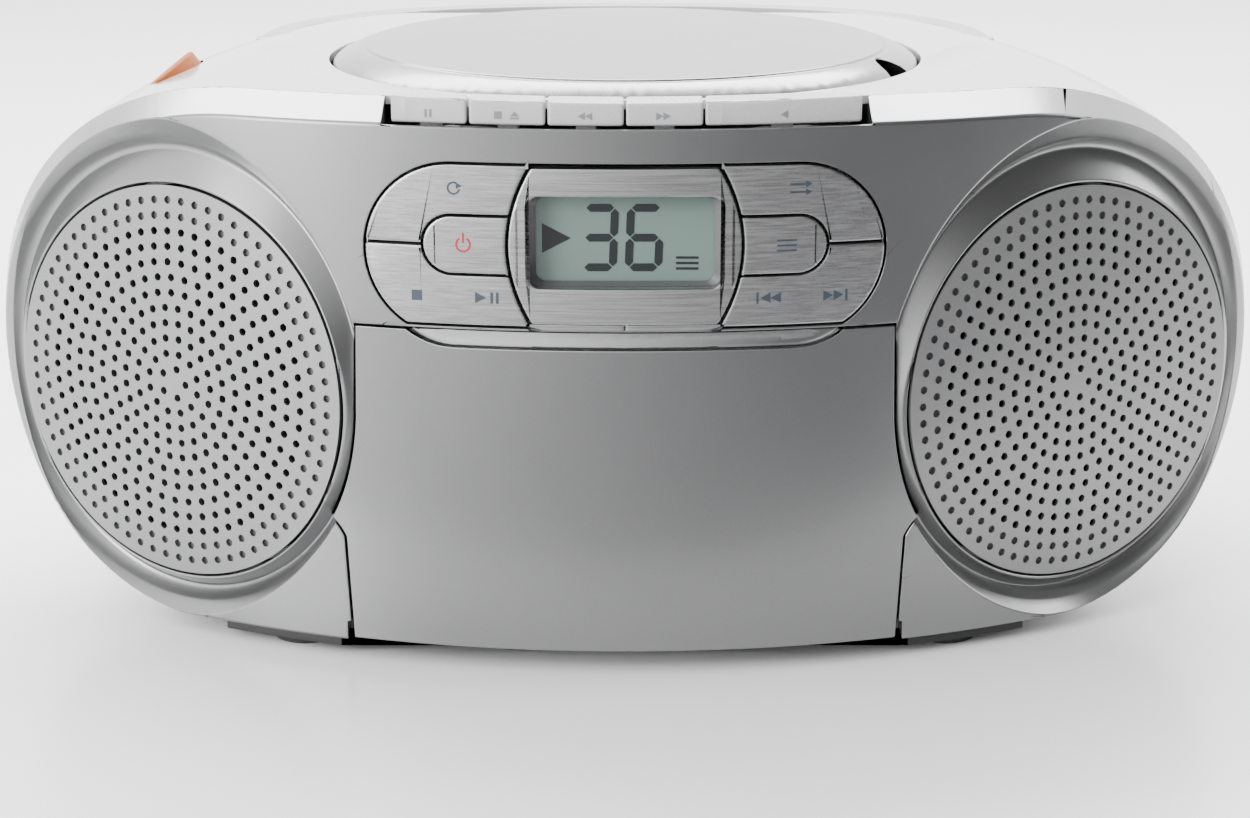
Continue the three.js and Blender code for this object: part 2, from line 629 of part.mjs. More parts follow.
function openBox(x, y, z, wall) {
  const inner = (v) => [v[0] + wall, v[1] - wall];
  return box(x, y, z).subtract(box(inner(x), [y[0] + wall, y[1] + 5], inner(z)));
}

const bayZ = [BATTERY.z - BATTERY.h / 2 - 2.5, BATTERY.z + BATTERY.h / 2 + 2.5];
add('battery_bay', openBox([-55, 55], [113.6 - BATTERY.depth, 113.6], bayZ, 1.8), darkPlastic());
add('battery_door', rearPlate(BATTERY.w, BATTERY.h, 12, [116.2, BACK_Y]), whiteGloss());
add('mains_inlet', openBox([-42, -18], [100, BACK_Y], [14, 28], 2)
  .add(rod('y', 1.2, 101, 113, [-33.3, 21], 12))
  .add(rod('y', 1.2, 101, 113, [-26.7, 21], 12)), darkPlastic());
add('transformer', box([-120, -78], [-2, 34], [16, 52]), steel());
add('main_board', box([-72, 72], [-30, 60], [14, 15.6]), board());
add('volume_wheel', rod('z', 14.5, 71, 79, [156.6, 0], 40)
  .subtract(rod('z', 2.3, 70, 80, [156.6, 0], 16)), darkPlastic());
add('volume_shaft', rod('z', 2, 62, 84, [156.6, 0], 16), steel());
add('source_switch', box([-170.4, -162], [-3.5, 3.5], [73, 77]), darkPlastic());
add('headphone_socket', rod('x', 4, 153, 165.1, [0, 45], 24)
  .subtract(rod('x', 1.8, 155, 175, [0, 45], 16)), darkPlastic());
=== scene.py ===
import bpy
import bmesh
import json
import math
from mathutils import Matrix, Vector
from mathutils.geometry import delaunay_2d_cdt

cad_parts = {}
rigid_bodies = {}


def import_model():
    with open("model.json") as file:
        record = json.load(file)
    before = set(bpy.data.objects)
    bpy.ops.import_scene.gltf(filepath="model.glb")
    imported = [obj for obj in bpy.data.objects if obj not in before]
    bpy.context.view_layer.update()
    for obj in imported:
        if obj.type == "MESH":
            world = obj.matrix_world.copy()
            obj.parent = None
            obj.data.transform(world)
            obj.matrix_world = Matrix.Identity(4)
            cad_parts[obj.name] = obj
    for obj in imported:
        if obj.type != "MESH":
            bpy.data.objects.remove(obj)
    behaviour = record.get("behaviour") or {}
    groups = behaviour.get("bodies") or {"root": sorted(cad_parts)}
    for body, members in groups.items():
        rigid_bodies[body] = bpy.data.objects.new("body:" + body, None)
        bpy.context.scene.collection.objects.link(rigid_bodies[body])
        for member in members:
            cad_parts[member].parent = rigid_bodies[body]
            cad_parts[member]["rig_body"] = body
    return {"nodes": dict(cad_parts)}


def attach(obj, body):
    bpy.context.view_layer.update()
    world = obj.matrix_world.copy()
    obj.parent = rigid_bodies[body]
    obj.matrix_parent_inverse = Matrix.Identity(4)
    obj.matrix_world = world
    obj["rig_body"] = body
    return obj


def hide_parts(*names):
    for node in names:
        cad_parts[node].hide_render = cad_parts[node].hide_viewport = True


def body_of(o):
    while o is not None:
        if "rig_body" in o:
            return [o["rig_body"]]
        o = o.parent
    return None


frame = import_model()
NODES = frame["nodes"]
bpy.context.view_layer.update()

# Driving sizes in millimetres, the same as the CAD model's.
MM = 0.001
FRONT_Y = -118.5
BACK_Y = 118.5
FRONT_R = 246
HALF_W = 172.7
TOP_Z = 143.3
BOTTOM_Z = 4.8
MID_Z = 72
WALL = 2.5
SPEAKER = {"x": 119.3, "y": -81.1, "z": 68.2, "turn": 29.6, "lean": 1.5, "r": 53}
LID = {"y": -24.5, "base_r": 81.3, "base_z": 146.4}
CAPSULE = {"x": 43.2, "z": 111.2, "r": 22.2, "cut_z": 92.4, "split_z": 112.9}
TONGUE = {"x": 43.3, "z": 113, "r": 7.3}
BARREL = {"half": 23.3, "swell": 23.6, "low": 93, "high": 132.9}
DOOR = {"hinge_y": -104.6, "hinge_z": 14, "top_z": 90.6, "low_z": 5.7, "thick": 2.5}
KEYS = {"y": -97, "z": 138.6, "front": 2.9, "depth": 6.8, "base_z": 142.9, "top_z": 147.6}
KEY_EDGES = [-58.5, -38.9, -19.4, 0, 19.6, 59.3]
KEY_NOTCH = (-60.6, 61.4)
BATTERY = {"z": 79, "w": 104, "h": 78, "corner": 12}
WELL = {"floor_z": 139, "disc_r": 61.5, "rim_z": 144.6}
LID_HINGE = {"x": 22, "y": 60, "z": 146.2}
NOTCH_TURN = math.radians(-25)
SCOOP = {"x": 94, "y": -27, "z": 151.4, "half_w": 12, "half_l": 54, "depth": 5, "turn": -20}
BASS = {"x": -126.6, "y": -24, "z": 141.6, "tilt": -38}
DISPLAY = {"y": -112.7, "z": 114.3}
INLET_MOUTH = {"x": (-42.3, -17.7), "z": (13.7, 28.3)}
WHEEL_SLOT = {"y": (-16, 16), "z": (70.5, 79.5)}
SWITCH_SLOT = {"y": (-9, 9), "z": (72.5, 77.5)}
SOCKET = {"y": 0, "z": 45, "r": 4.3}
BUTTON_BACK = 4.4
HANDLE = {"x": 106, "y": 30, "z": 141.2, "reach": 81, "w": 9, "h": 7}
HANDLE_GAP = 0.8
PIVOT_R = 4
OUTLINE_POINTS = 220
REAR_END = 0.957
HOLE_RINGS = [5, 12, 18, 24, 30, 34, 40, 45, 51, 57, 63, 69]
HOLE_R = 1.1
OUTER_HOLES_R = 49.2

# Each light's name, place, aim, width and height in metres, and its power in watts.
LIGHTS = (("key", (-1.0, -0.9, 0.45), (0, 0, 0.07), (0.5, 0.9), 16),
          ("top", (-0.15, 0.7, 1.0), (0, -0.05, 0.08), (1.5, 0.5), 46),
          ("rim", (1.0, 0.1, 0.5), (0.1, 0, 0.08), (0.25, 0.8), 6))


# --- Camera, floor and light -------------------------------------------------
def add_camera():
    data = bpy.data.cameras.new("camera")
    data.lens = 74.65
    data.sensor_width = 36
    camera = bpy.data.objects.new("camera", data)
    camera.location = (0, -0.7485, 0.252)
    camera.rotation_euler = (math.radians(74), 0, 0)
    bpy.context.scene.collection.objects.link(camera)
    bpy.context.scene.camera = camera


def add_area(name, place, aim, size, power):
    data = bpy.data.lights.new(name, "AREA")
    data.shape = "RECTANGLE"
    data.size, data.size_y = size
    data.energy = power
    lamp = bpy.data.objects.new(name, data)
    lamp.location = place
    lamp.rotation_euler = (Vector(aim) - Vector(place)).to_track_quat("-Z", "Y").to_euler()
    bpy.context.scene.collection.objects.link(lamp)


def map_range(nodes, start, end, low, high, kind="LINEAR"):
    span = nodes.new("ShaderNodeMapRange")
    span.interpolation_type = kind
    span.inputs["From Min"].default_value = start
    span.inputs["From Max"].default_value = end
    span.inputs["To Min"].default_value = low
    span.inputs["To Max"].default_value = high
    return span


def add_world():
    """A white room, darker to the right and dark low down behind the camera."""
    world = bpy.data.worlds.new("studio")
    world.use_nodes = True
    bpy.context.scene.world = world
    tree = world.node_tree
    nodes = tree.nodes
    links = tree.links
    place = nodes.new("ShaderNodeTexCoord")
    split = nodes.new("ShaderNodeSeparateXYZ")
    links.new(place.outputs["Generated"], split.inputs[0])
    side = map_range(nodes, -0.75, 0.55, 3.2, 0.2, "SMOOTHSTEP")
    links.new(split.outputs["X"], side.inputs["Value"])
    back = map_range(nodes, 0.1, 0.5, 0.0, 3.6, "SMOOTHSTEP")
    links.new(split.outputs["Y"], back.inputs["Value"])
    total = nodes.new("ShaderNodeMath")
    total.operation = "MAXIMUM"
    links.new(side.outputs["Result"], total.inputs[0])
    links.new(back.outputs["Result"], total.inputs[1])
    links.new(total.outputs[0], nodes["Background"].inputs[1])
    nodes["Background"].inputs[0].default_value = (1, 1, 1, 1)


def flat_sheet(name, material, half, y, z):
    """A level rectangle, its sizes in metres."""
    mesh = bpy.data.meshes.new(name)
    mesh.from_pydata([(-half, y[0], z), (half, y[0], z), (half, y[1], z), (-half, y[1], z)],
                     [], [(0, 1, 2, 3)])
    mesh.materials.append(bpy.data.materials["look_" + material])
    sheet = bpy.data.objects.new(name, mesh)
    bpy.context.scene.collection.objects.link(sheet)
    return sheet


def add_card():
    """A card on the floor in front, out of frame, painted light at the left and dark at the right:
    painted shade for the front face to mirror.
    """
    surface, nodes, links = new_material("painted_shade_card", (0.3, 0.3, 0.3), 0.9)
    place = nodes.new("ShaderNodeTexCoord")
    split = nodes.new("ShaderNodeSeparateXYZ")
    # Painted shade: the card's colour runs from light grey at the left to near black at the right.
    ramp = nodes.new("ShaderNodeValToRGB")
    ramp.color_ramp.interpolation = "EASE"
    ramp.color_ramp.elements[0].position = 0.3
    ramp.color_ramp.elements[0].color = (0.8, 0.8, 0.8, 1)
    ramp.color_ramp.elements[1].position = 0.58
    ramp.color_ramp.elements[1].color = (0.12, 0.12, 0.125, 1)
    links.new(place.outputs["Generated"], split.inputs[0])
    links.new(split.outputs["X"], ramp.inputs[0])
    links.new(ramp.outputs[0], surface.inputs["Base Color"])
    card = flat_sheet("card", "painted_shade_card", 1.6, (-2.6, -0.212), 0.002)


def add_floor():
    surface = new_material("floor_white", (0.93, 0.93, 0.93), 0.22)[0]
    surface.inputs["Specular IOR Level"].default_value = 0.35
    floor = flat_sheet("floor", "floor_white", 6, (-6, 6), 0)


# --- Materials ---------------------------------------------------------------
def new_material(name, colour, roughness, metallic=0.0):
    material = bpy.data.materials.new("look_" + name)
    material.use_nodes = True
    tree = material.node_tree
    surface = tree.nodes["Principled BSDF"]
    surface.inputs["Base Color"].default_value = (*colour, 1)
    surface.inputs["Roughness"].default_value = roughness
    surface.inputs["Metallic"].default_value = metallic
    material.diffuse_color = (*colour, 1)
    return surface, tree.nodes, tree.links


def object_coordinates(nodes, links, stretch=(1, 1, 1)):
    place = nodes.new("ShaderNodeTexCoord")
    mapping = nodes.new("ShaderNodeMapping")
    mapping.inputs["Scale"].default_value = stretch
    links.new(place.outputs["Object"], mapping.inputs[0])
    return mapping.outputs[0]


def noise(nodes, links, vector, scale, detail=3.0):
    texture = nodes.new("ShaderNodeTexNoise")
    texture.inputs["Scale"].default_value = scale
    texture.inputs["Detail"].default_value = detail
    links.new(vector, texture.inputs["Vector"])
    return texture.outputs["Fac"]


def spread(nodes, links, value, low, high):
    span = map_range(nodes, 0.3, 0.7, low, high)
    links.new(value, span.inputs["Value"])
    return span.outputs["Result"]


def tint(nodes, links, value, dark, light):
    ramp = nodes.new("ShaderNodeValToRGB")
    ramp.color_ramp.elements[0].color = (*dark, 1)
    ramp.color_ramp.elements[0].position = 0.3
    ramp.color_ramp.elements[1].color = (*light, 1)
    ramp.color_ramp.elements[1].position = 0.7
    links.new(value, ramp.inputs[0])
    return ramp.outputs[0]


def bump(nodes, links, surface, height, strength, distance):
    node = nodes.new("ShaderNodeBump")
    node.inputs["Strength"].default_value = strength
    node.inputs["Distance"].default_value = distance
    links.new(height, node.inputs["Height"])
    links.new(node.outputs[0], surface.inputs["Normal"])


def silver_paint(name="silver_paint", level=0.22, roughness=0.3, metallic=0.92):
    """Metallic paint: fine flake in the colour, soft orange peel in the surface."""
    colour = (level, level * 1.005, level * 1.015)
    surface, nodes, links = new_material(name, colour, roughness, metallic)
    vector = object_coordinates(nodes, links)
    flake = noise(nodes, links, vector, 5200, 2)
    light = tuple(min(1, c * 1.06) for c in colour)
    dark = tuple(c * 0.93 for c in colour)
    links.new(tint(nodes, links, flake, dark, light), surface.inputs["Base Color"])
    wide = noise(nodes, links, vector, 38, 4)
    links.new(spread(nodes, links, wide, roughness - 0.025, roughness + 0.03),
              surface.inputs["Roughness"])
    bump(nodes, links, surface, flake, 0.05, 0.00004)
    surface.inputs["Coat Weight"].default_value = 0.25
    surface.inputs["Coat Roughness"].default_value = 0.12
    return bpy.data.materials["look_" + name]


def moulded(name, colour, roughness, grain=900, depth=0.00002, coat=0.0, shine=0.5):
    """Moulded plastic: slight mottling, soft grain and uneven polish."""
    surface, nodes, links = new_material(name, colour, roughness)
    vector = object_coordinates(nodes, links)
    fine = noise(nodes, links, vector, grain, 4)
    wide = noise(nodes, links, vector, 22, 3)
    dark = tuple(c * 0.965 for c in colour)
    light = tuple(min(1, c * 1.02) for c in colour)
    links.new(tint(nodes, links, wide, dark, light), surface.inputs["Base Color"])
    links.new(spread(nodes, links, fine, roughness * 0.9, roughness * 1.12),
              surface.inputs["Roughness"])
    bump(nodes, links, surface, fine, 0.15, depth)
    surface.inputs["Specular IOR Level"].default_value = shine
    surface.inputs["Coat Weight"].default_value = coat
    surface.inputs["Coat Roughness"].default_value = 0.05
    return bpy.data.materials["look_" + name]


def brushed_metal(name="brushed_silver", level=0.36, roughness=0.26):
    """Brushed finish: streaks that run along X, in colour, polish and relief."""
    colour = (level, level, level * 1.005)
    surface, nodes, links = new_material(name, colour, roughness, 0.95)
    vector = object_coordinates(nodes, links, (14, 400, 1500))
    streak = noise(nodes, links, vector, 1.6, 5)
    dark = tuple(c * 0.80 for c in colour)
    light = tuple(min(1, c * 1.16) for c in colour)
    links.new(tint(nodes, links, streak, dark, light), surface.inputs["Base Color"])
    links.new(spread(nodes, links, streak, roughness - 0.05, roughness + 0.1),
              surface.inputs["Roughness"])
    bump(nodes, links, surface, streak, 0.25, 0.00003)
    surface.inputs["Anisotropic"].default_value = 0.5
    return bpy.data.materials["look_" + name]


def printed(name, colour, roughness=0.4):
    """Printed ink: nearly even, with a slight unevenness in tone."""
    surface, nodes, links = new_material(name, colour, roughness)
    fleck = noise(nodes, links, object_coordinates(nodes, links), 2500, 2)
    dark = tuple(c * 0.9 for c in colour)
    light = tuple(min(1, c * 1.08) for c in colour)
    links.new(tint(nodes, links, fleck, dark, light), surface.inputs["Base Color"])
    return bpy.data.materials["look_" + name]


def display_glass():
    """Liquid crystal: grey green under glass, with painted shade that makes it a little darker towards
    its top edge.
    """
    surface, nodes, links = new_material("display_glass", (0.30, 0.41, 0.37), 0.12)
    place = nodes.new("ShaderNodeTexCoord")
    split = nodes.new("ShaderNodeSeparateXYZ")
    links.new(place.outputs["Generated"], split.inputs[0])
    # Painted shade: the colour darkens from the bottom towards the top edge.
    ramp = nodes.new("ShaderNodeValToRGB")
    ramp.color_ramp.elements[0].color = (0.15, 0.215, 0.19, 1)
    ramp.color_ramp.elements[1].color = (0.085, 0.125, 0.11, 1)
    middle = ramp.color_ramp.elements.new(0.75)
    middle.color = (0.14, 0.20, 0.178, 1)
    links.new(split.outputs["Z"], ramp.inputs[0])
    links.new(ramp.outputs[0], surface.inputs["Base Color"])
    surface.inputs["Coat Weight"].default_value = 0.3
    surface.inputs["Coat Roughness"].default_value = 0.04
    return bpy.data.materials["look_display_glass"]


def circuit_board():
    surface, nodes, links = new_material("circuit_board", (0.03, 0.16, 0.07), 0.45)
    vector = object_coordinates(nodes, links, (1, 0.2, 1))
    traces = nodes.new("ShaderNodeTexVoronoi")
    traces.inputs["Scale"].default_value = 260
    links.new(vector, traces.inputs["Vector"])
    links.new(tint(nodes, links, traces.outputs["Distance"], (0.02, 0.10, 0.04), (0.05, 0.24, 0.1)),
              surface.inputs["Base Color"])
    return bpy.data.materials["look_circuit_board"]


MATERIALS = {
    "silver_paint": silver_paint(),
    "white_gloss": moulded("white_gloss", (0.62, 0.62, 0.615), 0.16, 700, 0.00001, 0.6),
    "brushed_silver": brushed_metal(),
    "lid_silver": silver_paint("lid_silver", 0.2, 0.26, 0.92),
    "dark_plastic": moulded("dark_plastic", (0.009, 0.009, 0.01), 0.5, 1400, 0.00006),
    "key_white": moulded("key_white", (0.55, 0.55, 0.545), 0.28, 900, 0.00002, 0.2),
    "orange_plastic": moulded("orange_plastic", (0.36, 0.085, 0.0), 0.5, 900, 0.00002, 0.0, 0.12),
    "display_glass": display_glass(),
    "steel": brushed_metal("steel", 0.3, 0.35),
    "circuit_board": circuit_board(),
    "grille_metal": silver_paint("grille_metal", 0.22, 0.36, 0.75),
    "rubber_foot": moulded("rubber_foot", (0.02, 0.02, 0.02), 0.75, 1600, 0.0001),
    "handle_silver": moulded("handle_silver", (0.34, 0.345, 0.35), 0.3, 900, 0.00002, 0.2),
    "gloss_silver": silver_paint("gloss_silver", 0.4, 0.1, 1.0),
    "ink_grey": printed("ink_grey", (0.035, 0.05, 0.07)),
    "ink_pale": printed("ink_pale", (0.22, 0.225, 0.235)),
    "ink_red": printed("ink_red", (0.42, 0.004, 0.02)),
    "crystal_dark": printed("crystal_dark", (0.01, 0.014, 0.015), 0.25),
    "mask_grey": moulded("mask_grey", (0.09, 0.092, 0.095), 0.3, 900, 0.00002),
    "blind_grey": moulded("blind_grey", (0.07, 0.07, 0.073), 0.5, 900, 0.00003),
}


# --- Mesh building -----------------------------------------------------------
def new_object(name, points, faces):
    """A linked object from points in millimetres, its faces turned outwards."""
    mesh = bpy.data.meshes.new(name)
    mesh.from_pydata([Vector(p) * MM for p in points], [], faces)
    work = bmesh.new()
    work.from_mesh(mesh)
    bmesh.ops.recalc_face_normals(work, faces=work.faces)
    bmesh.ops.triangulate(work, faces=[face for face in work.faces if len(face.verts) == 4])
    work.to_mesh(mesh)
    work.free()
    obj = bpy.data.objects.new(name, mesh)
    bpy.context.scene.collection.objects.link(obj)
    return obj


def loft(name, rings):
    """Closed surface through rings of equal point counts; one-point rings are poles."""
    points = [p for ring in rings for p in ring]
    faces = []
    start = 0
    for ring, after in zip(rings, rings[1:]):
        count = max(len(ring), len(after))
        follow = start + len(ring)
        for i in range(count):
            j = (i + 1) % count
            face = [start + i, start + j] if len(ring) > 1 else [start]
            face += [follow + j, follow + i] if len(after) > 1 else [follow]
            faces.append(face)
        start = follow
    return new_object(name, points, faces)


def prism(name, outline, low, high, place):
    """An outline [(a, b)] swept from low to high; place maps (a, b, h) to a point."""
    rings = [[place(a, b, h) for a, b in outline] for h in (low, high)]
    count = len(outline)
    faces = [list(range(count)), list(range(count, 2 * count))]
    faces += [[i, (i + 1) % count, count + (i + 1) % count, count + i] for i in range(count)]
    return new_object(name, rings[0] + rings[1], faces)


def along_y(x, z, y):
    return (x, y, z)


def along_z(x, y, z):
    return (x, y, z)


def along_x(y, z, x):
    return (x, y, z)


def box(x, y, z):
    outline = [(x[0], y[0]), (x[1], y[0]), (x[1], y[1]), (x[0], y[1])]
    return prism("box", outline, z[0], z[1], along_z)


def rod(place, r, low, high, centre, sides=48):
    turn = [2 * math.pi * i / sides for i in range(sides)]
    outline = [(centre[0] + r * math.cos(t), centre[1] + r * math.sin(t)) for t in turn]
    return prism("rod", outline, low, high, place)


def lathe(name, profile, centre=(0, 0), sides=128):
    """Turned about a vertical axis; the profile is [(radius, height)] from axis to axis."""
    rings = []
    for r, h in profile:
        if r == 0:
            rings.append([(centre[0], centre[1], h)])
            continue
        turn = [2 * math.pi * i / sides for i in range(sides)]
        rings.append([(centre[0] + r * math.cos(t), centre[1] + r * math.sin(t), h) for t in turn])
    return loft(name, rings)


def applied(obj):
    """Fix an object's modifiers into its mesh."""
    graph = bpy.context.evaluated_depsgraph_get()
    mesh = bpy.data.meshes.new_from_object(obj.evaluated_get(graph))
    spare = obj.data
    obj.modifiers.clear()
    obj.data = mesh
    bpy.data.meshes.remove(spare)
    return obj


def combine(obj, operation, *others):
    """One exact boolean of an object with others, which are used up."""
    group = bpy.data.collections.new("operands")
    for other in others:
        group.objects.link(other)
    cut = obj.modifiers.new("cut", "BOOLEAN")
    cut.operation = operation
    cut.solver = "EXACT"
    cut.operand_type = "COLLECTION"
    cut.collection = group
    applied(obj)
    for other in others:
        bpy.data.objects.remove(other)
    bpy.data.collections.remove(group)
    return obj


def subtract(obj, *cutters):
    return combine(obj, "DIFFERENCE", *cutters)


def unite(obj, *others):
    return combine(obj, "UNION", *others)


def intersect(obj, other):
    return combine(obj, "INTERSECT", other)


def duplicate(obj):
    copy = bpy.data.objects.new(obj.name + "_copy", obj.data.copy())
    copy.matrix_world = obj.matrix_world
    bpy.context.scene.collection.objects.link(copy)
    return copy


def rounded(obj, width, segments=3, angle=30, flat=0.5):
    """Weld, tidy flat areas, soften the edges sharper than the angle, then shade smooth."""
    work = bmesh.new()
    work.from_mesh(obj.data)
    bmesh.ops.remove_doubles(work, verts=work.verts, dist=0.01 * MM)
    if flat:
        bmesh.ops.dissolve_limit(work, angle_limit=math.radians(flat), verts=work.verts,
                                 edges=work.edges)
    work.to_mesh(obj.data)
    work.free()
    if width:
        edge = obj.modifiers.new("edge", "BEVEL")
        edge.width = width * MM
        edge.segments = segments
        edge.limit_method = "ANGLE"
        edge.angle_limit = math.radians(angle)
        edge.use_clamp_overlap = False
        edge.miter_outer = "MITER_ARC"
        applied(obj)
    smooth(obj)
    weight = obj.modifiers.new("weight", "WEIGHTED_NORMAL")
    weight.keep_sharp = True
    weight.weight = 100
    return applied(obj)


def smooth(obj, angle=32):
    obj.data.polygons.foreach_set("use_smooth", [True] * len(obj.data.polygons))
    obj.data.set_sharp_from_angle(angle=math.radians(angle))
    return obj


def dressed(obj, name, body, material, replaced=None):
    """Name a finished piece, give it its material and let it stand in for a CAD node."""
    obj.name = name
    obj.data.materials.clear()
    obj.data.materials.append(MATERIALS[material])
    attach(obj, body)
    if replaced:
        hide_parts(replaced)
    return obj


# --- Cabinet form ------------------------------------------------------------
def front_y(x):
    return FRONT_Y + FRONT_R - math.sqrt(FRONT_R * FRONT_R - x * x)


def bezier(points, steps):
    """Points of a Bezier curve of any degree, without its last."""
    curve = []
    for k in range(steps):
        left = [Vector(p) for p in points]
        while len(left) > 1:
            left = [a.lerp(b, k / steps) for a, b in zip(left, left[1:])]
        curve.append(left[0])
    return curve


def even(loop, count):
    """A closed loop walked again in equal steps."""
    loop = [Vector(p) for p in loop]
    ends = loop[1:] + loop[:1]
    lengths = [(b - a).length for a, b in zip(loop, ends)]
    step = sum(lengths) / count
    result = []
    travelled = 0.0
    for a, b, length in zip(loop, ends, lengths):
        while len(result) < count and len(result) * step <= travelled + length:
            result.append(a.lerp(b, (len(result) * step - travelled) / length))
        travelled += length
    return result


def front_outline():
    """Flat top and bottom joined by full ends, as (x, z, outward x, outward z)."""
    half = [(0, TOP_Z), (-50, TOP_Z - 0.35)]
    half += bezier([(-100, TOP_Z - 0.7), (-143, TOP_Z - 1), (-HALF_W, MID_Z + 40),
                    (-HALF_W, MID_Z)], 60)
    half += bezier([(-HALF_W, MID_Z), (-HALF_W, MID_Z - 36), (-149, BOTTOM_Z),
                    (-118, BOTTOM_Z)], 60)
    half += [(-118, BOTTOM_Z), (-60, BOTTOM_Z), (0, BOTTOM_Z)]
    mirrored = [(-x, z) for x, z in half[1:-1]]
    loop = even(half + mirrored[::-1], OUTLINE_POINTS)
    result = []
    for i, p in enumerate(loop):
        along = loop[(i + 1) % OUTLINE_POINTS] - loop[i - 1]
        normal = Vector((along.y, -along.x)).normalized()
        result.append((p.x, p.y, normal.x, normal.y))
    return result


OUTLINE = front_outline()


def parting_point(p, inset=0.0):
    x, z, nx, nz = p
    growth = 1.2 + (3.8 if nz > 0 else 1.2) * nz
    over_keys = max(0, 1 - abs(x) / 75) * max(0, nz)
    depth = 8 + 5.5 * max(0, nz) - 3.2 * over_keys
    out = growth - inset
    return Vector((x + out * nx, front_y(x) + depth, z + out * nz))


def rear_scale(v, sharpness):
    return (1 - v ** sharpness) ** (1 / sharpness)


def body_solid(inset, round_over=0.0):
    """The whole outer form, or the space inside its walls when inset."""
    rings = [[(0, FRONT_Y + inset, MID_Z)]]
    crease = inset + round_over
    for k in range(1, 21):
        ring = []
        for x, z, nx, nz in OUTLINE:
            px = (x - crease * nx) * k / 20
            ring.append(Vector((px, front_y(px) + inset, MID_Z + (z - crease * nz - MID_Z) * k / 20)))
        rings.append(ring)
    last = rings[-1]
    corner = [Vector((x - inset * nx, front_y(x) + inset, z - inset * nz))
              for x, z, nx, nz in OUTLINE]
    joint = [parting_point(p, inset) for p in OUTLINE]
    if round_over:
        band = [c.lerp(j, round_over / (j - c).length) for c, j in zip(corner, joint)]
        for k in range(1, 6):
            t = k / 5
            rings.append([a * (1 - t) ** 2 + c * (2 * t * (1 - t)) + b * t ** 2
                          for a, c, b in zip(last, corner, band)])
    back = BACK_Y - inset
    for k in range(25):
        v = REAR_END * (1 - (1 - k / 24) ** 1.7)
        ring = []
        for q in joint:
            ring.append(Vector((q.x * rear_scale(v, 2.25), q.y + (back - q.y) * v / REAR_END,
                                MID_Z + (q.z - MID_Z) * rear_scale(v, 7 if q.z > MID_Z else 12))))
        rings.append(ring)
    rings.append([(0, back, MID_Z)])
    return loft("body", rings)


def front_region(shift):
    """Everything ahead of the line where the two cabinets meet."""
    joint = [parting_point(p) for p in OUTLINE]

    def ring(k, y=None):
        return [(q.x * k, q.y + shift if y is None else y, MID_Z + (q.z - MID_Z) * k)
                for q in joint]
    return loft("region", [[(0, -200, MID_Z)], ring(1.3, -200), ring(1.3), ring(0.6),
                           [(0, -95 + shift, MID_Z)]])


def speaker_matrix(side):
    """Local x runs across the bezel, y up it and z outwards, in millimetres."""
    turn = math.radians(SPEAKER["turn"])
    lean = math.radians(SPEAKER["lean"])
    out = Vector((side * math.sin(turn) * math.cos(lean), -math.cos(turn) * math.cos(lean),
                  math.sin(lean)))
    across = Vector((0, 0, 1)).cross(out).normalized()
    up = out.cross(across)
    matrix = Matrix((across, up, out)).transposed().to_4x4()
    matrix.translation = (side * SPEAKER["x"], SPEAKER["y"], SPEAKER["z"])
    return matrix


def ellipse(a, b, lift, h, matrix, sides=128):
    turn = [2 * math.pi * i / sides for i in range(sides)]
    return [matrix @ Vector((a * math.cos(t), lift + b * math.sin(t), h)) for t in turn]


def bezel_cut(matrix):
    """The valley round a grille, its outer side rolled over towards the front face."""
    r = SPEAKER["r"] + 0.6
    rings = [[matrix @ Vector((0, 0, -12))], ellipse(r, r, 0, -12, matrix),
             ellipse(r, r, 0, 0.2, matrix), ellipse(r + 0.5, r + 0.7, 0, 0.55, matrix)]
    for k in range(9):
        t = k / 8
        grow = 57.0 + 3.4 * t
        rings.append(ellipse(grow, grow + 2.7, 2.6, -3.4 + 4 * t * t, matrix))
    rings += [ellipse(61.6, 64.4, 2.6, 2.0, matrix), ellipse(75, 78, 2.6, 17, matrix),
              [matrix @ Vector((0, 0, 17))]]
    return loft("bezel_cut", rings)


# --- Front-view outlines -----------------------------------------------------
def arc(cx, cz, r, start, end, steps):
    """Points on an arc; the angles are in degrees."""
    turn = [math.radians(start + (end - start) * i / steps) for i in range(steps + 1)]
    return [(cx + r * math.cos(t), cz + r * math.sin(t)) for t in turn]


def door_outline(grow):
    top = DOOR["top_z"] + grow
    low = DOOR["low_z"] - grow
    right = [(0, top), (68.6 + grow, top), (69.2 + grow, 66)]
    right += bezier([(69.2 + grow, 66), (70.2 + grow, 50), (76.2 + grow, 38.6)], 16)[1:]
    right += bezier([(76.2 + grow, 38.6), (73.6 + grow, 36), (72.6 + grow, 33.5)], 10)
    right += [(72.6 + grow, 33.5), (71.2 + grow, low), (0, low)]
    return right + [(-x, z) for x, z in right[1:-1]][::-1]


def capsule_outline(grow):
    r = CAPSULE["r"] + grow
    low = math.degrees(math.asin((CAPSULE["cut_z"] - grow - CAPSULE["z"]) / r))
    right = arc(CAPSULE["x"], CAPSULE["z"], r, low, 90, 48)
    return right + [(-x, z) for x, z in right][::-1]


def bezel_outline(grow):
    half = BARREL["half"] + grow
    low = BARREL["low"] - grow
    high = BARREL["high"] + grow
    swell = BARREL["half"] + BARREL["swell"] / 2 + grow
    middle = (BARREL["low"] + BARREL["high"]) / 2
    right = bezier([(half, low), (swell, middle), (half, high)], 40) + [(half, high)]
    return right + [(-x, z) for x, z in right][::-1]


def tongue_outline(side, grow):
    r = TONGUE["r"] + grow
    end = arc(side * TONGUE["x"], TONGUE["z"], r, -90, 90 if side > 0 else -270, 32)
    return [(side * 20, TONGUE["z"] - r)] + end + [(side * 20, TONGUE["z"] + r)]


def rectangle(x, z, r, steps=10):
    return (arc(x[0] + r, z[0] + r, r, 180, 270, steps) + arc(x[1] - r, z[0] + r, r, 270, 360, steps)
            + arc(x[1] - r, z[1] - r, r, 0, 90, steps) + arc(x[0] + r, z[1] - r, r, 90, 180, steps))


def through_front(outline):
    return prism("through", outline, -135, -75, along_y)


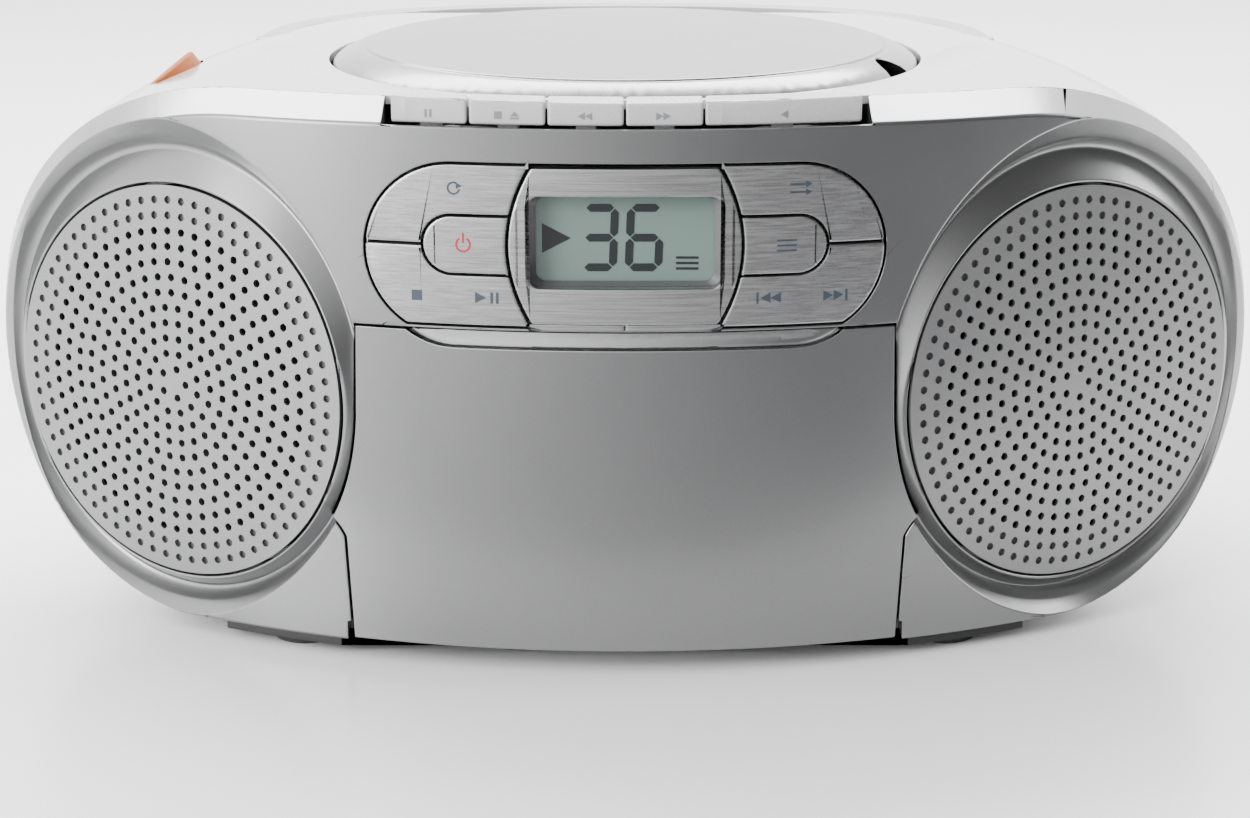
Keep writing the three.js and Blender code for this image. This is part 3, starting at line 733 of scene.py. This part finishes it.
def face_layer(start, end):
    """The layer between two depths behind the curved front face."""
    count = 96
    width = 164
    xs = [-width + 2 * width * i / count for i in range(count + 1)]
    centre = FRONT_Y + FRONT_R

    def depth(x, inward):
        return centre - math.sqrt((FRONT_R - inward) ** 2 - x * x)
    outline = [(x, depth(x, start)) for x in xs] + [(x, depth(x, end)) for x in reversed(xs)]
    return prism("layer", outline, 0, 170, along_z)


def on_face(name, outline, start, end):
    obj = through_front(outline)
    obj.name = name
    return intersect(obj, face_layer(start, end))


# --- Cabinets ----------------------------------------------------------------
def merged(name, *parts):
    """Separate solids gathered into one mesh."""
    work = bmesh.new()
    for part in parts:
        work.from_mesh(part.data)
        bpy.data.objects.remove(part)
    mesh = bpy.data.meshes.new(name)
    work.to_mesh(mesh)
    work.free()
    obj = bpy.data.objects.new(name, mesh)
    bpy.context.scene.collection.objects.link(obj)
    return obj


def speaker_rod(side, r, low, high, sides=96):
    matrix = speaker_matrix(side)
    rings = [[matrix @ Vector((0, 0, low))], ellipse(r, r, 0, low, matrix, sides),
             ellipse(r, r, 0, high, matrix, sides), [matrix @ Vector((0, 0, high))]]
    return loft("speaker_rod", rings)


def front_cabinet(outer):
    part = intersect(duplicate(outer), front_region(-0.02))
    cutters = [intersect(box((-64, 64), (-125, -60), (8, 137)), face_layer(WALL, 60))]
    for side in (-1, 1):
        cutters += [speaker_rod(side, 50, -70, -11), bezel_cut(speaker_matrix(side))]
    cutters += [through_front(capsule_outline(0.5)), through_front(door_outline(0.6)),
                box((-73, 73), (-125, -75), (-5, 9.99)),
                box(KEY_NOTCH, (-125, -85), (KEYS["base_z"] - 0.4, 155)),
                intersect(box(KEY_NOTCH, (-125, -85), (KEYS["base_z"] - 3, 155)),
                          face_layer(1.6, 22))]
    subtract(part, *cutters)
    return dressed(rounded(part, 0.35), "front_shell", "cabinet", "silver_paint", "front_cabinet")


def handle_point(t):
    power = 2 / 2.4
    x = HANDLE["x"] * math.copysign(abs(math.cos(t)) ** power, math.cos(t))
    return Vector((x, HANDLE["y"] + HANDLE["reach"] * abs(math.sin(t)) ** power, HANDLE["z"]))


def handle_sweep(name, section, steps=96):
    """Half a superellipse swept with a section of [outwards, upwards] offsets."""
    rings = []
    for i in range(steps + 1):
        t = math.pi * i / steps
        ahead = handle_point(min(t + 0.01, math.pi)) - handle_point(max(t - 0.01, 0))
        out = Vector((ahead.y, -ahead.x, 0)).normalized()
        rings.append([handle_point(t) + out * o + Vector((0, 0, u)) for o, u in section])
    centres = [sum(ring, Vector()) / len(ring) for ring in (rings[0], rings[-1])]
    return loft(name, [[centres[0]], *rings, [centres[1]]])


def handle_channel(extra):
    gap = HANDLE_GAP + extra
    inner = -HANDLE["w"] / 2 - gap
    low = -HANDLE["h"] / 2 - gap
    cut = handle_sweep("channel", [(inner, low), (40, low), (40, 20), (inner, 20)])
    for side in (-1, 1):
        ends = sorted((side * (HANDLE["x"] + inner), side * (HANDLE["x"] + 6)))
        unite(cut, rod(along_x, PIVOT_R + gap, *ends, (HANDLE["y"], HANDLE["z"])))
        unite(cut, box(ends, (HANDLE["y"] - 5 - extra, HANDLE["y"]),
                       (HANDLE["z"], HANDLE["z"] + 15)))
    return cut


def deck_scoop(side):
    """A long teardrop hollow beside the lid."""
    turn = Matrix.Rotation(side * math.radians(SCOOP["turn"]), 3, "Z")
    middle = Vector((side * SCOOP["x"], SCOOP["y"], SCOOP["z"]))
    rings = []
    for k in range(33):
        tilt = math.pi * k / 32 - math.pi / 2
        h = SCOOP["depth"] * math.sin(tilt)
        if k in (0, 32):
            flat = [Vector((0, 0, h))]
        else:
            around = [2 * math.pi * i / 96 for i in range(96)]
            half_w = SCOOP["half_w"] * math.cos(tilt)
            half_l = SCOOP["half_l"] * math.cos(tilt)
            flat = [Vector((half_w * math.cos(a), half_l * math.sin(a), h)) for a in around]
        rings.append([turn @ p + middle for p in flat])
    return loft("scoop", rings)


def battery_opening():
    width = BATTERY["w"] + 0.8
    height = BATTERY["h"] + 0.8
    z = (BATTERY["z"] - height / 2, BATTERY["z"] + height / 2)
    shape = rectangle((-width / 2, width / 2), z, BATTERY["corner"])
    return prism("bay", shape, 110, 125, along_y)


def bass_solid(grow, thick=6.5, sink=0.0):
    """Lens on the left shoulder, lying along Y and tilted outwards, its back left flat."""
    tip = -21 - grow
    end = 19 + grow
    right = bezier([(0, tip), (13 + grow, -2), (3 + grow, end)], 24) + [(3 + grow, end)]
    left = bezier([(-3 - grow, end), (-11 - grow, -2), (0, tip)], 24)
    tilt = Matrix.Rotation(math.radians(BASS["tilt"]), 3, "Y")
    middle = Vector((BASS["x"], BASS["y"], BASS["z"]))

    def place(x, y, h):
        return tilt @ Vector((x, y, h)) + middle
    return prism("bass", right + left, -4 - grow - sink, thick - 4 + grow, place)


def rear_cabinet(outer):
    part = duplicate(outer)
    cutters = [handle_channel(0), deck_scoop(-1), deck_scoop(1), front_region(0.3),
               subtract(body_solid(WALL), handle_channel(WALL)),
               rod(along_z, LID["base_r"] + 0.9, 140, 156, (0, LID["y"]), 160),
               battery_opening(),
               box(INLET_MOUTH["x"], (100, 125), INLET_MOUTH["z"]),
               box((140, 180), WHEEL_SLOT["y"], WHEEL_SLOT["z"]),
               rod(along_x, SOCKET["r"], 140, 180, (SOCKET["y"], SOCKET["z"])),
               box((-180, -140), SWITCH_SLOT["y"], SWITCH_SLOT["z"]),
               bass_solid(0.5, sink=1.5)]
    for x in (-LID_HINGE["x"], LID_HINGE["x"]):
        cutters.append(box((x - 5, x + 5), (52, 65), (140, 156)))
    subtract(part, *cutters)
    return dressed(rounded(part, 0.35, 2), "rear_shell", "cabinet", "white_gloss", "rear_cabinet")


# --- Loudspeakers ------------------------------------------------------------
def dome(r):
    """Height of the grille's outer surface above its seat."""
    return 0.5 + 1.6 * (1 - (r / SPEAKER["r"]) ** 2)


def grille_holes():
    """Centres of the holes, in concentric rings."""
    for ring, count in enumerate(HOLE_RINGS):
        r = OUTER_HOLES_R * (ring + 1) / len(HOLE_RINGS)
        for i in range(count):
            t = 2 * math.pi * (i + 0.5 * (ring % 2)) / count
            yield r * math.cos(t), r * math.sin(t)


def perforated_disc():
    """Flat triangles of a disc with every hole left out, as points and faces."""
    rim = [Vector((p[0], p[1])) for p in arc(0, 0, SPEAKER["r"], 0, 360, 144)[:-1]]
    points = list(rim)
    loops = [list(range(len(rim)))]
    for x, z in grille_holes():
        start = len(points)
        points += [Vector(p) for p in arc(x, z, HOLE_R, 0, 360, 14)[:-1]]
        loops.append(list(range(start, len(points))))
    edges = [(loop[i], loop[(i + 1) % len(loop)]) for loop in loops for i in range(len(loop))]
    cut = delaunay_2d_cdt(points, edges, [], 1, 1e-6)
    centres = list(grille_holes())
    keep = []
    for face in cut[2]:
        middle = sum((cut[0][i] for i in face), Vector((0, 0))) / len(face)
        if all((middle.x - x) ** 2 + (middle.y - z) ** 2 > 1.0 for x, z in centres):
            keep.append(face)
    return cut[0], keep


def grille(side, name, disc):
    """A domed, perforated plate; a grey ring behind it closes the two outer rings of holes."""
    matrix = speaker_matrix(side)
    flat, faces = disc
    points = [matrix @ Vector((p.x, p.y, dome(p.length))) for p in flat]
    plate = new_object(name, points, faces)
    facing = plate.data.polygons[0].normal.dot(matrix.to_3x3() @ Vector((0, 0, 1)))
    skin = plate.modifiers.new("skin", "SOLIDIFY")
    skin.thickness = 1.0 * MM
    skin.offset = -1 if facing > 0 else 1
    applied(plate)
    rings = [ellipse(r, r, 0, dome(r) - drop, matrix) for r, drop in
             ((43, 1.05), (52.6, 1.05), (52.6, 1.4), (43, 1.4), (43, 1.05))]
    backing = loft("backing", rings)
    first = len(plate.data.polygons)
    both = merged(name, plate, backing)
    smooth(both, 40)
    dressed(both, "grille_plate_" + name, "cabinet", "grille_metal", "grille_" + name)
    both.data.materials.append(MATERIALS["blind_grey"])
    for polygon in both.data.polygons[first:]:
        polygon.material_index = 1


def speaker_driver(side, name):
    matrix = speaker_matrix(side)
    profile = [(0, -16), (9, -17.5), (12, -20), (13, -22), (40, -9.5), (42, -8.2), (44, -7.2),
               (46, -7), (48, -7.4), (49, -8), (51.5, -8), (52, -8.4), (52, -9.4), (50, -10),
               (27, -28), (24, -29), (24, -31), (22, -31.5), (22, -41), (21, -42), (0, -42)]
    rings = []
    for r, h in profile:
        rings.append(ellipse(r, r, 0, h, matrix, 96) if r else [matrix @ Vector((0, 0, h))])
    cone = smooth(loft("driver", rings), 40)
    dressed(cone, "driver_" + name, "cabinet", "dark_plastic", "speaker_driver_" + name)


# --- Cassette door -----------------------------------------------------------
def door_scoop():
    """The finger hollow along the door's top edge, as the volume it takes away."""
    steps = 28
    half = 58.24
    level = 86.4
    rings = []
    for i in range(-steps, steps + 1):
        x = half * i / steps
        low = level + 5.7 * max(0, (abs(x) - 42) / 15.5) ** 2.4
        face = front_y(x)
        section = [(face - 2, low), (face, low)]
        section += [(face + 1.0, low + 0.25), (face + 1.7, low + 1.0)]
        for k in range(1, 7):
            t = k / 6
            y = face + 1.7 + 0.5 * math.sin(t * math.pi / 2)
            section.append((y, low + 1.0 + (92.5 - low) * t))
        section.append((face - 2, 93.5))
        rings.append([(x, y, z) for y, z in section])
    ends = [[sum((Vector(p) for p in ring), Vector()) / len(ring)] for ring in (rings[0], rings[-1])]
    return loft("door_scoop", [ends[0], *rings, ends[1]])


def cassette_door():
    part = on_face("door", door_outline(0), 0, DOOR["thick"])
    pivot = (DOOR["hinge_y"], DOOR["hinge_z"])
    subtract(part, door_scoop())
    for side in (-1, 1):
        ends = sorted((side * 62.5, side * 65.5))
        unite(part, box(ends, (pivot[0] - 4, pivot[0] + 2.6), (pivot[1] - 3, pivot[1] + 3)))
        subtract(part, rod(along_x, 1.8, ends[0] - 1, ends[1] + 1, pivot))
    rounded(part, 0.3, 2)
    dressed(part, "door_panel", "cassette_door", "silver_paint", "cassette_door")
    part.data.materials.append(MATERIALS["gloss_silver"])
    for polygon in part.data.polygons:
        x, y, z = polygon.center / MM
        depth = y - front_y(x)
        if z > 86.2 and abs(x) < 59 and 0.03 < depth < 2.2 and polygon.normal.y < -0.15:
            polygon.material_index = 1


# --- Keys, buttons and display -----------------------------------------------
def piano_key(name, x0, x1):
    base = KEYS["base_z"]
    top = KEYS["top_z"]
    front = bezier([(-112, top + 1.5), (-116, top + 0.8), (-125, top)], 12) + [(-125, top)]
    profile = [(-125, base), (-104, base), (-104, top + 2.2)] + front
    layer = face_layer(KEYS["front"], KEYS["front"] + KEYS["depth"])
    cap = intersect(prism("key", profile, x0, x1, along_x), layer)
    rounded(cap, 0.7, 4)
    middle = (x0 + x1) / 2
    back = front_y(middle) + 7.4
    ends = (middle - 2.5, middle + 2.5)
    pivot = (KEYS["y"], KEYS["z"])
    stem = box(ends, (back, pivot[0]), (pivot[1] - 1, pivot[1] + 2.2))
    unite(stem, box(ends, (back, back + 2.6), (pivot[1] - 1, base + 1)))
    unite(stem, rod(along_x, 3.2, *ends, pivot))
    subtract(stem, rod(along_x, 1.9, ends[0] - 2, ends[1] + 2, pivot))
    rounded(stem, 0.2, 2)
    key = smooth(merged(name, cap, stem))
    return dressed(key, "cap_" + name, "key_" + name, "key_white", "key_" + name)


def button_piece(name, part):
    rounded(part, 0.75, 2)
    return dressed(part, "face_" + name, "button_" + name, "brushed_silver", "button_" + name)


def capsule_button(side, upper):
    part = on_face("capsule", capsule_outline(0), -0.3, BUTTON_BACK)
    split = CAPSULE["split_z"]
    z = (split + 0.25, 140) if upper else (85, split - 0.25)
    intersect(part, box(sorted((0, side * 80)), (-140, -80), z))
    return subtract(part, through_front(bezel_outline(0.5)),
                    through_front(tongue_outline(side, 0.45)))


def tongue_button(side):
    part = on_face("tongue", tongue_outline(side, 0), -0.5, BUTTON_BACK)
    return subtract(part, through_front(bezel_outline(0.5)))


def display_bezel():
    """The brushed frame, and the grey mask that slopes in from it to the display."""
    part = on_face("bezel", bezel_outline(0), -0.4, 4)
    subtract(part, through_front(rectangle((-24.2, 24.2), (102.4, 125.6), 3)))
    rounded(part, 0.75, 2)
    dressed(part, "bezel_frame", "cabinet", "brushed_silver", "display_bezel")
    inner = rectangle((-22.4, 22.4), (103.2, 124.8), 2.6)
    outer = rectangle((-25.8, 25.8), (101.2, 126.8), 3.4)
    rings = [[(x, -116.4, z) for x, z in outer], [(x, -113.4, z) for x, z in inner],
             [(x, DISPLAY["y"], z) for x, z in inner], [(x, DISPLAY["y"], z) for x, z in outer]]
    mask = loft("mask", rings + [rings[0]])
    smooth(mask, 30)
    dressed(mask, "display_mask", "cabinet", "mask_grey")


def bass_button():
    part = bass_solid(0, 6.3)
    rounded(part, 1.1, 5)
    return dressed(part, "lens_bass", "button_bass", "orange_plastic", "button_bass")


# --- Disc lid, well and drive --------------------------------------------------
def disc_lid():
    profile = [(0, 152.1), (30, 152.0), (60, 151.75), (70.9, 151.55)]
    profile += [(x, z) for x, z in arc(71.6, 150.75, 0.8, 90, 20, 6)]
    profile += [(73.4, 150.9), (74.4, 150.7), (76.5, 149.9), (79.2, 148.6), (80.7, 147.4)]
    base = (LID["base_r"], LID["base_z"])
    profile += [base, (base[0] - 2, base[1]), (71.7, 148.9), (0, 149.9)]
    part = lathe("lid", profile, (0, LID["y"]), 256)
    turn = Matrix.Rotation(NOTCH_TURN, 4, "Z")
    rings = []
    for along, r in ((71, 6.4), (93, 7.4)):
        ring = arc(0, 0, r, 0, 360, 64)[:-1]
        rings.append([turn @ Vector((along, a, 144.2 + b)) + Vector((0, LID["y"], 0))
                      for a, b in ring])
    ends = [[sum(ring, Vector()) / len(ring)] for ring in rings]
    subtract(part, loft("notch", [ends[0], *rings, ends[1]]))
    pivot = (LID_HINGE["y"], LID_HINGE["z"])
    for x in (-LID_HINGE["x"], LID_HINGE["x"]):
        unite(part, box((x - 3, x + 3), (50, pivot[0]), (pivot[1] - 1, pivot[1] + 1.8)))
        unite(part, rod(along_x, 2.4, x - 3, x + 3, pivot))
        subtract(part, rod(along_x, 1.5, x - 5, x + 5, pivot))
    rounded(part, 0.3, 3, 24, 0)
    return dressed(part, "lid_disc", "cd_lid", "lid_silver", "cd_lid")


def disc_well():
    floor = WELL["floor_z"]
    rim = WELL["rim_z"]
    r = WELL["disc_r"]
    profile = [(0, floor), (17, floor), (17.6, floor + 0.3), (22, floor + 0.3), (22.6, floor),
               (r - 1, floor), (r, floor + 0.3), (r + 1.5, rim - 1), (r + 2.5, rim - 0.2),
               (r + 4, rim), (LID["base_r"], rim), (LID["base_r"], rim - 1.8), (r + 5, rim - 1.8),
               (r + 3, floor - 2), (0, floor - 2)]
    part = lathe("well", profile, (0, LID["y"]), 192)
    y = LID["y"]
    subtract(part, rod(along_z, 15.5, 130, 150, (0, y), 96), box((17, 57), (y - 9, y + 9), (130, 150)))
    room = box((65, 95), (-7, 7), (139.8, 159.8))
    room.data.transform(Matrix.Translation((0, y * MM, 0)) @ Matrix.Rotation(NOTCH_TURN, 4, "Z"))
    subtract(part, room)
    rounded(part, 0.25, 2, 30, 0)
    return dressed(part, "well_tray", "cabinet", "dark_plastic", "cd_well")


def turntable():
    profile = [(0, 144.6), (4.2, 144.5), (5, 144.2), (6.6, 143.3), (7.3, 142.4), (7.4, 140.6),
               (13.6, 140.4), (14, 140.0), (14, 139), (13.8, 138.8), (1, 138.8), (1, 134), (0, 134)]
    part = lathe("platter", profile, (0, LID["y"]), 96)
    for i in range(3):
        ball = lathe("grip", [(0, 143.4), (0.9, 142.8), (1.2, 141.8), (0.9, 140.9), (0, 140.7)],
                     (7.0 * math.cos(2.1 * i), LID["y"] + 7.0 * math.sin(2.1 * i)), 24)
        unite(part, ball)
    return dressed(rounded(part, 0.15, 2, 30, 0), "platter", "cd_turntable", "dark_plastic",
                   "cd_turntable")


# --- Handle and small parts ----------------------------------------------------
def carry_handle():
    w = HANDLE["w"] / 2
    h = HANDLE["h"] / 2
    section = []
    corner = 1.6
    x = w - corner
    z = h - corner
    for cx, cz, start in ((x, -z, -90), (x, z, 0), (-x, z, 90), (-x, -z, 180)):
        section += arc(cx, cz, corner, start, start + 90, 5)
    part = handle_sweep("handle", section)
    for side in (-1, 1):
        ends = sorted((side * (HANDLE["x"] - w), side * (HANDLE["x"] + w)))
        unite(part, rod(along_x, PIVOT_R, *ends, (HANDLE["y"], HANDLE["z"])))
        subtract(part, rod(along_x, 2.2, ends[0] - 2, ends[1] + 2, (HANDLE["y"], HANDLE["z"])))
    return dressed(rounded(part, 0.2, 2, 35, 0), "bow", "carry_handle", "handle_silver",
                   "carry_handle")


FINE_PARTS = {
    "dark_plastic": ["base_plate", "cassette_carrier", "pinch_roller", "cd_pickup", "battery_bay",
                     "mains_inlet", "volume_wheel", "source_switch", "headphone_socket"],
    "rubber_foot": ["foot_fl", "foot_fr", "foot_rl", "foot_rr"],
    "steel": ["door_pin_left", "door_pin_right", "tape_chassis", "capstan_flywheel", "tape_motor",
              "head_bridge", "tape_head", "key_shaft", "lid_pin_left", "lid_pin_right",
              "cd_motor", "pickup_rail", "handle_pin_left", "handle_pin_right", "transformer",
              "volume_shaft"],
    "key_white": ["reel_supply", "reel_takeup"],
    "display_glass": ["display_panel"],
    "circuit_board": ["control_board", "main_board"],
    "white_gloss": ["battery_door"],
}


def refined(name, material, width=0.25):
    """A small part kept to its CAD form, its edges softened and its curves smoothed."""
    part = bpy.data.objects.new(name, NODES[name].data.copy())
    bpy.context.scene.collection.objects.link(part)
    rounded(part, width, 2, 32, 1.0)
    body = body_of(NODES[name])[0]
    return dressed(part, "fine_" + name, body, material, name)


# --- Symbols and display figures -----------------------------------------------
def thickened(obj, thickness):
    skin = obj.modifiers.new("skin", "SOLIDIFY")
    skin.thickness = thickness * MM
    skin.offset = 0
    return applied(obj)


def face_patch(name, outlines, lift, body, material):
    """Thin flat marks that follow the curved front, lift millimetres ahead of it."""
    points = []
    faces = []
    for outline in outlines:
        start = len(points)
        points += [(x, front_y(x) - lift, z) for x, z in outline]
        faces.append(list(range(start, len(points))))
    mark = new_object(name, points, faces)
    thickened(mark, 0.06)
    return dressed(mark, name, body, material)


def triangle(x, z, size, way=1):
    return [(x - way * size, z - size * 1.05), (x + way * size, z), (x - way * size, z + size * 1.05)]


def bar(x, z, w, h):
    return [(x - w / 2, z - h / 2), (x + w / 2, z - h / 2), (x + w / 2, z + h / 2),
            (x - w / 2, z + h / 2)]


def ring_marks(x, z, r, w, start, end, steps=20):
    outer = arc(x, z, r, start, end, steps)
    inner = arc(x, z, r - w, start, end, steps)
    return [[outer[i], outer[i + 1], inner[i + 1], inner[i]] for i in range(steps)]


def digit(x, z, w, h, lit):
    """Seven-segment figure; lit names the segments a to g, clockwise from the top, g across."""
    t = 2.0
    half = h / 2
    lean = 0.04

    def flat(cz):
        e = w / 2 - 0.25
        return [(-e, cz), (-e + t / 2, cz + t / 2), (e - t / 2, cz + t / 2), (e, cz),
                (e - t / 2, cz - t / 2), (-e + t / 2, cz - t / 2)]

    def tall(cx, low, high):
        low += 0.25
        high -= 0.25
        return [(cx, low), (cx + t / 2, low + t / 2), (cx + t / 2, high - t / 2), (cx, high),
                (cx - t / 2, high - t / 2), (cx - t / 2, low + t / 2)]
    e = w / 2
    shapes = {"a": flat(half), "b": tall(e, 0, half), "c": tall(e, -half, 0), "d": flat(-half),
              "e": tall(-e, -half, 0), "f": tall(-e, 0, half), "g": flat(0)}
    return [[(x + px + lean * pz, z + pz) for px, pz in shapes[key]] for key in lit]


def display_figures():
    size = (7.4, 15.2)
    marks = digit(-6.5, DISPLAY["z"], *size, "abcdg") + digit(4.9, DISPLAY["z"], *size, "acdefg")
    marks.append(triangle(-17.2, DISPLAY["z"] - 0.1, 3.6))
    marks += [bar(15.6, 106.4 + 1.4 * k, 5.6, 0.6) for k in range(3)]
    points = []
    faces = []
    for outline in marks:
        start = len(points)
        points += [(x, DISPLAY["y"] + 0.08, z) for x, z in outline]
        faces.append(list(range(start, len(points))))
    obj = new_object("display_figures", points, faces)
    thickened(obj, 0.05)
    dressed(obj, "display_figures", "cabinet", "crystal_dark")


def button_marks():
    """Generic symbols in place of the printed words."""
    lift = 0.33
    z = 99.7
    face_patch("mark_stop", [bar(-52.4, z, 2.7, 2.7)], lift, "button_stop_play", "ink_grey")
    face_patch("mark_play", [triangle(-36.2, z, 1.4), bar(-33.4, z, 0.7, 2.9),
                             bar(-32.0, z, 0.7, 2.9)], lift, "button_stop_play", "ink_grey")
    face_patch("mark_back", [bar(33.2, z, 0.6, 2.9), triangle(35.2, z, 1.3, -1),
                             triangle(37.8, z, 1.3, -1)], lift, "button_search", "ink_grey")
    face_patch("mark_next", [triangle(51.2, z, 1.3), triangle(53.8, z, 1.3),
                             bar(55.8, z, 0.6, 2.9)], lift, "button_search", "ink_grey")
    loop = ring_marks(-42.6, 127.4, 1.7, 0.5, 60, 350) + [triangle(-41.2, 128.0, 0.8)]
    face_patch("mark_repeat", loop, lift, "button_repeat", "ink_grey")
    cross = [bar(43.2, 126.4, 4.4, 0.5), bar(43.2, 128.4, 4.4, 0.5), triangle(45.8, 126.4, 0.8),
             triangle(45.8, 128.4, 0.8)]
    face_patch("mark_shuffle", cross, lift, "button_shuffle", "ink_grey")
    power = ring_marks(-40.4, 113.2, 2.0, 0.5, 120, 420) + [bar(-40.4, 114.9, 0.5, 2.6)]
    face_patch("mark_power", power, 0.53, "button_power", "ink_red")
    lines = [bar(40.4, 113 + 1.3 * k, 5.0, 0.5) for k in (-1, 0, 1)]
    face_patch("mark_program", lines, 0.53, "button_program", "ink_grey")


def key_marks():
    """Pale symbols on the key fronts, set in level with the keys."""
    z = 145.4
    lift = -2.88
    s = 0.95
    face_patch("mark_key_pause", [bar(-49.5, z, 0.55, 2.0), bar(-48.3, z, 0.55, 2.0)], lift,
               "key_pause", "ink_pale")
    face_patch("mark_key_stop", [bar(-31.4, z, 1.9, 1.9), [(-28.4, z - 0.3), (-26.2, z - 0.3),
                                 (-27.3, z + 1.0)], bar(-27.3, z - 0.75, 2.2, 0.45)], lift,
               "key_stop_eject", "ink_pale")
    face_patch("mark_key_rewind", [triangle(-10.8, z, s, -1), triangle(-9.0, z, s, -1)], lift,
               "key_rewind", "ink_pale")
    face_patch("mark_key_forward", [triangle(8.6, z, s), triangle(10.4, z, s)], lift,
               "key_forward", "ink_pale")
    face_patch("mark_key_play", [triangle(39.4, z, s, -1)], lift, "key_play", "ink_pale")


# --- Assembly ------------------------------------------------------------------

add_camera()
add_world()
add_floor()
add_card()
for light in LIGHTS:
    add_area(*light)

outer_body = body_solid(0, 0.9)
front_cabinet(outer_body)
rear_cabinet(outer_body)
bpy.data.objects.remove(outer_body)
plate_pattern = perforated_disc()
for side, name in ((-1, "left"), (1, "right")):
    grille(side, name, plate_pattern)
    speaker_driver(side, name)
cassette_door()
for i, name in enumerate(("pause", "stop_eject", "rewind", "forward", "play")):
    piano_key(name, KEY_EDGES[i] + 0.3, KEY_EDGES[i + 1] - 0.3)
button_piece("repeat", capsule_button(-1, True))
button_piece("stop_play", capsule_button(-1, False))
button_piece("shuffle", capsule_button(1, True))
button_piece("search", capsule_button(1, False))
button_piece("power", tongue_button(-1))
button_piece("program", tongue_button(1))
display_bezel()
bass_button()
disc_lid()
disc_well()
turntable()
carry_handle()
display_figures()
button_marks()
key_marks()
for material, names in FINE_PARTS.items():
    for name in names:
        refined(name, material)
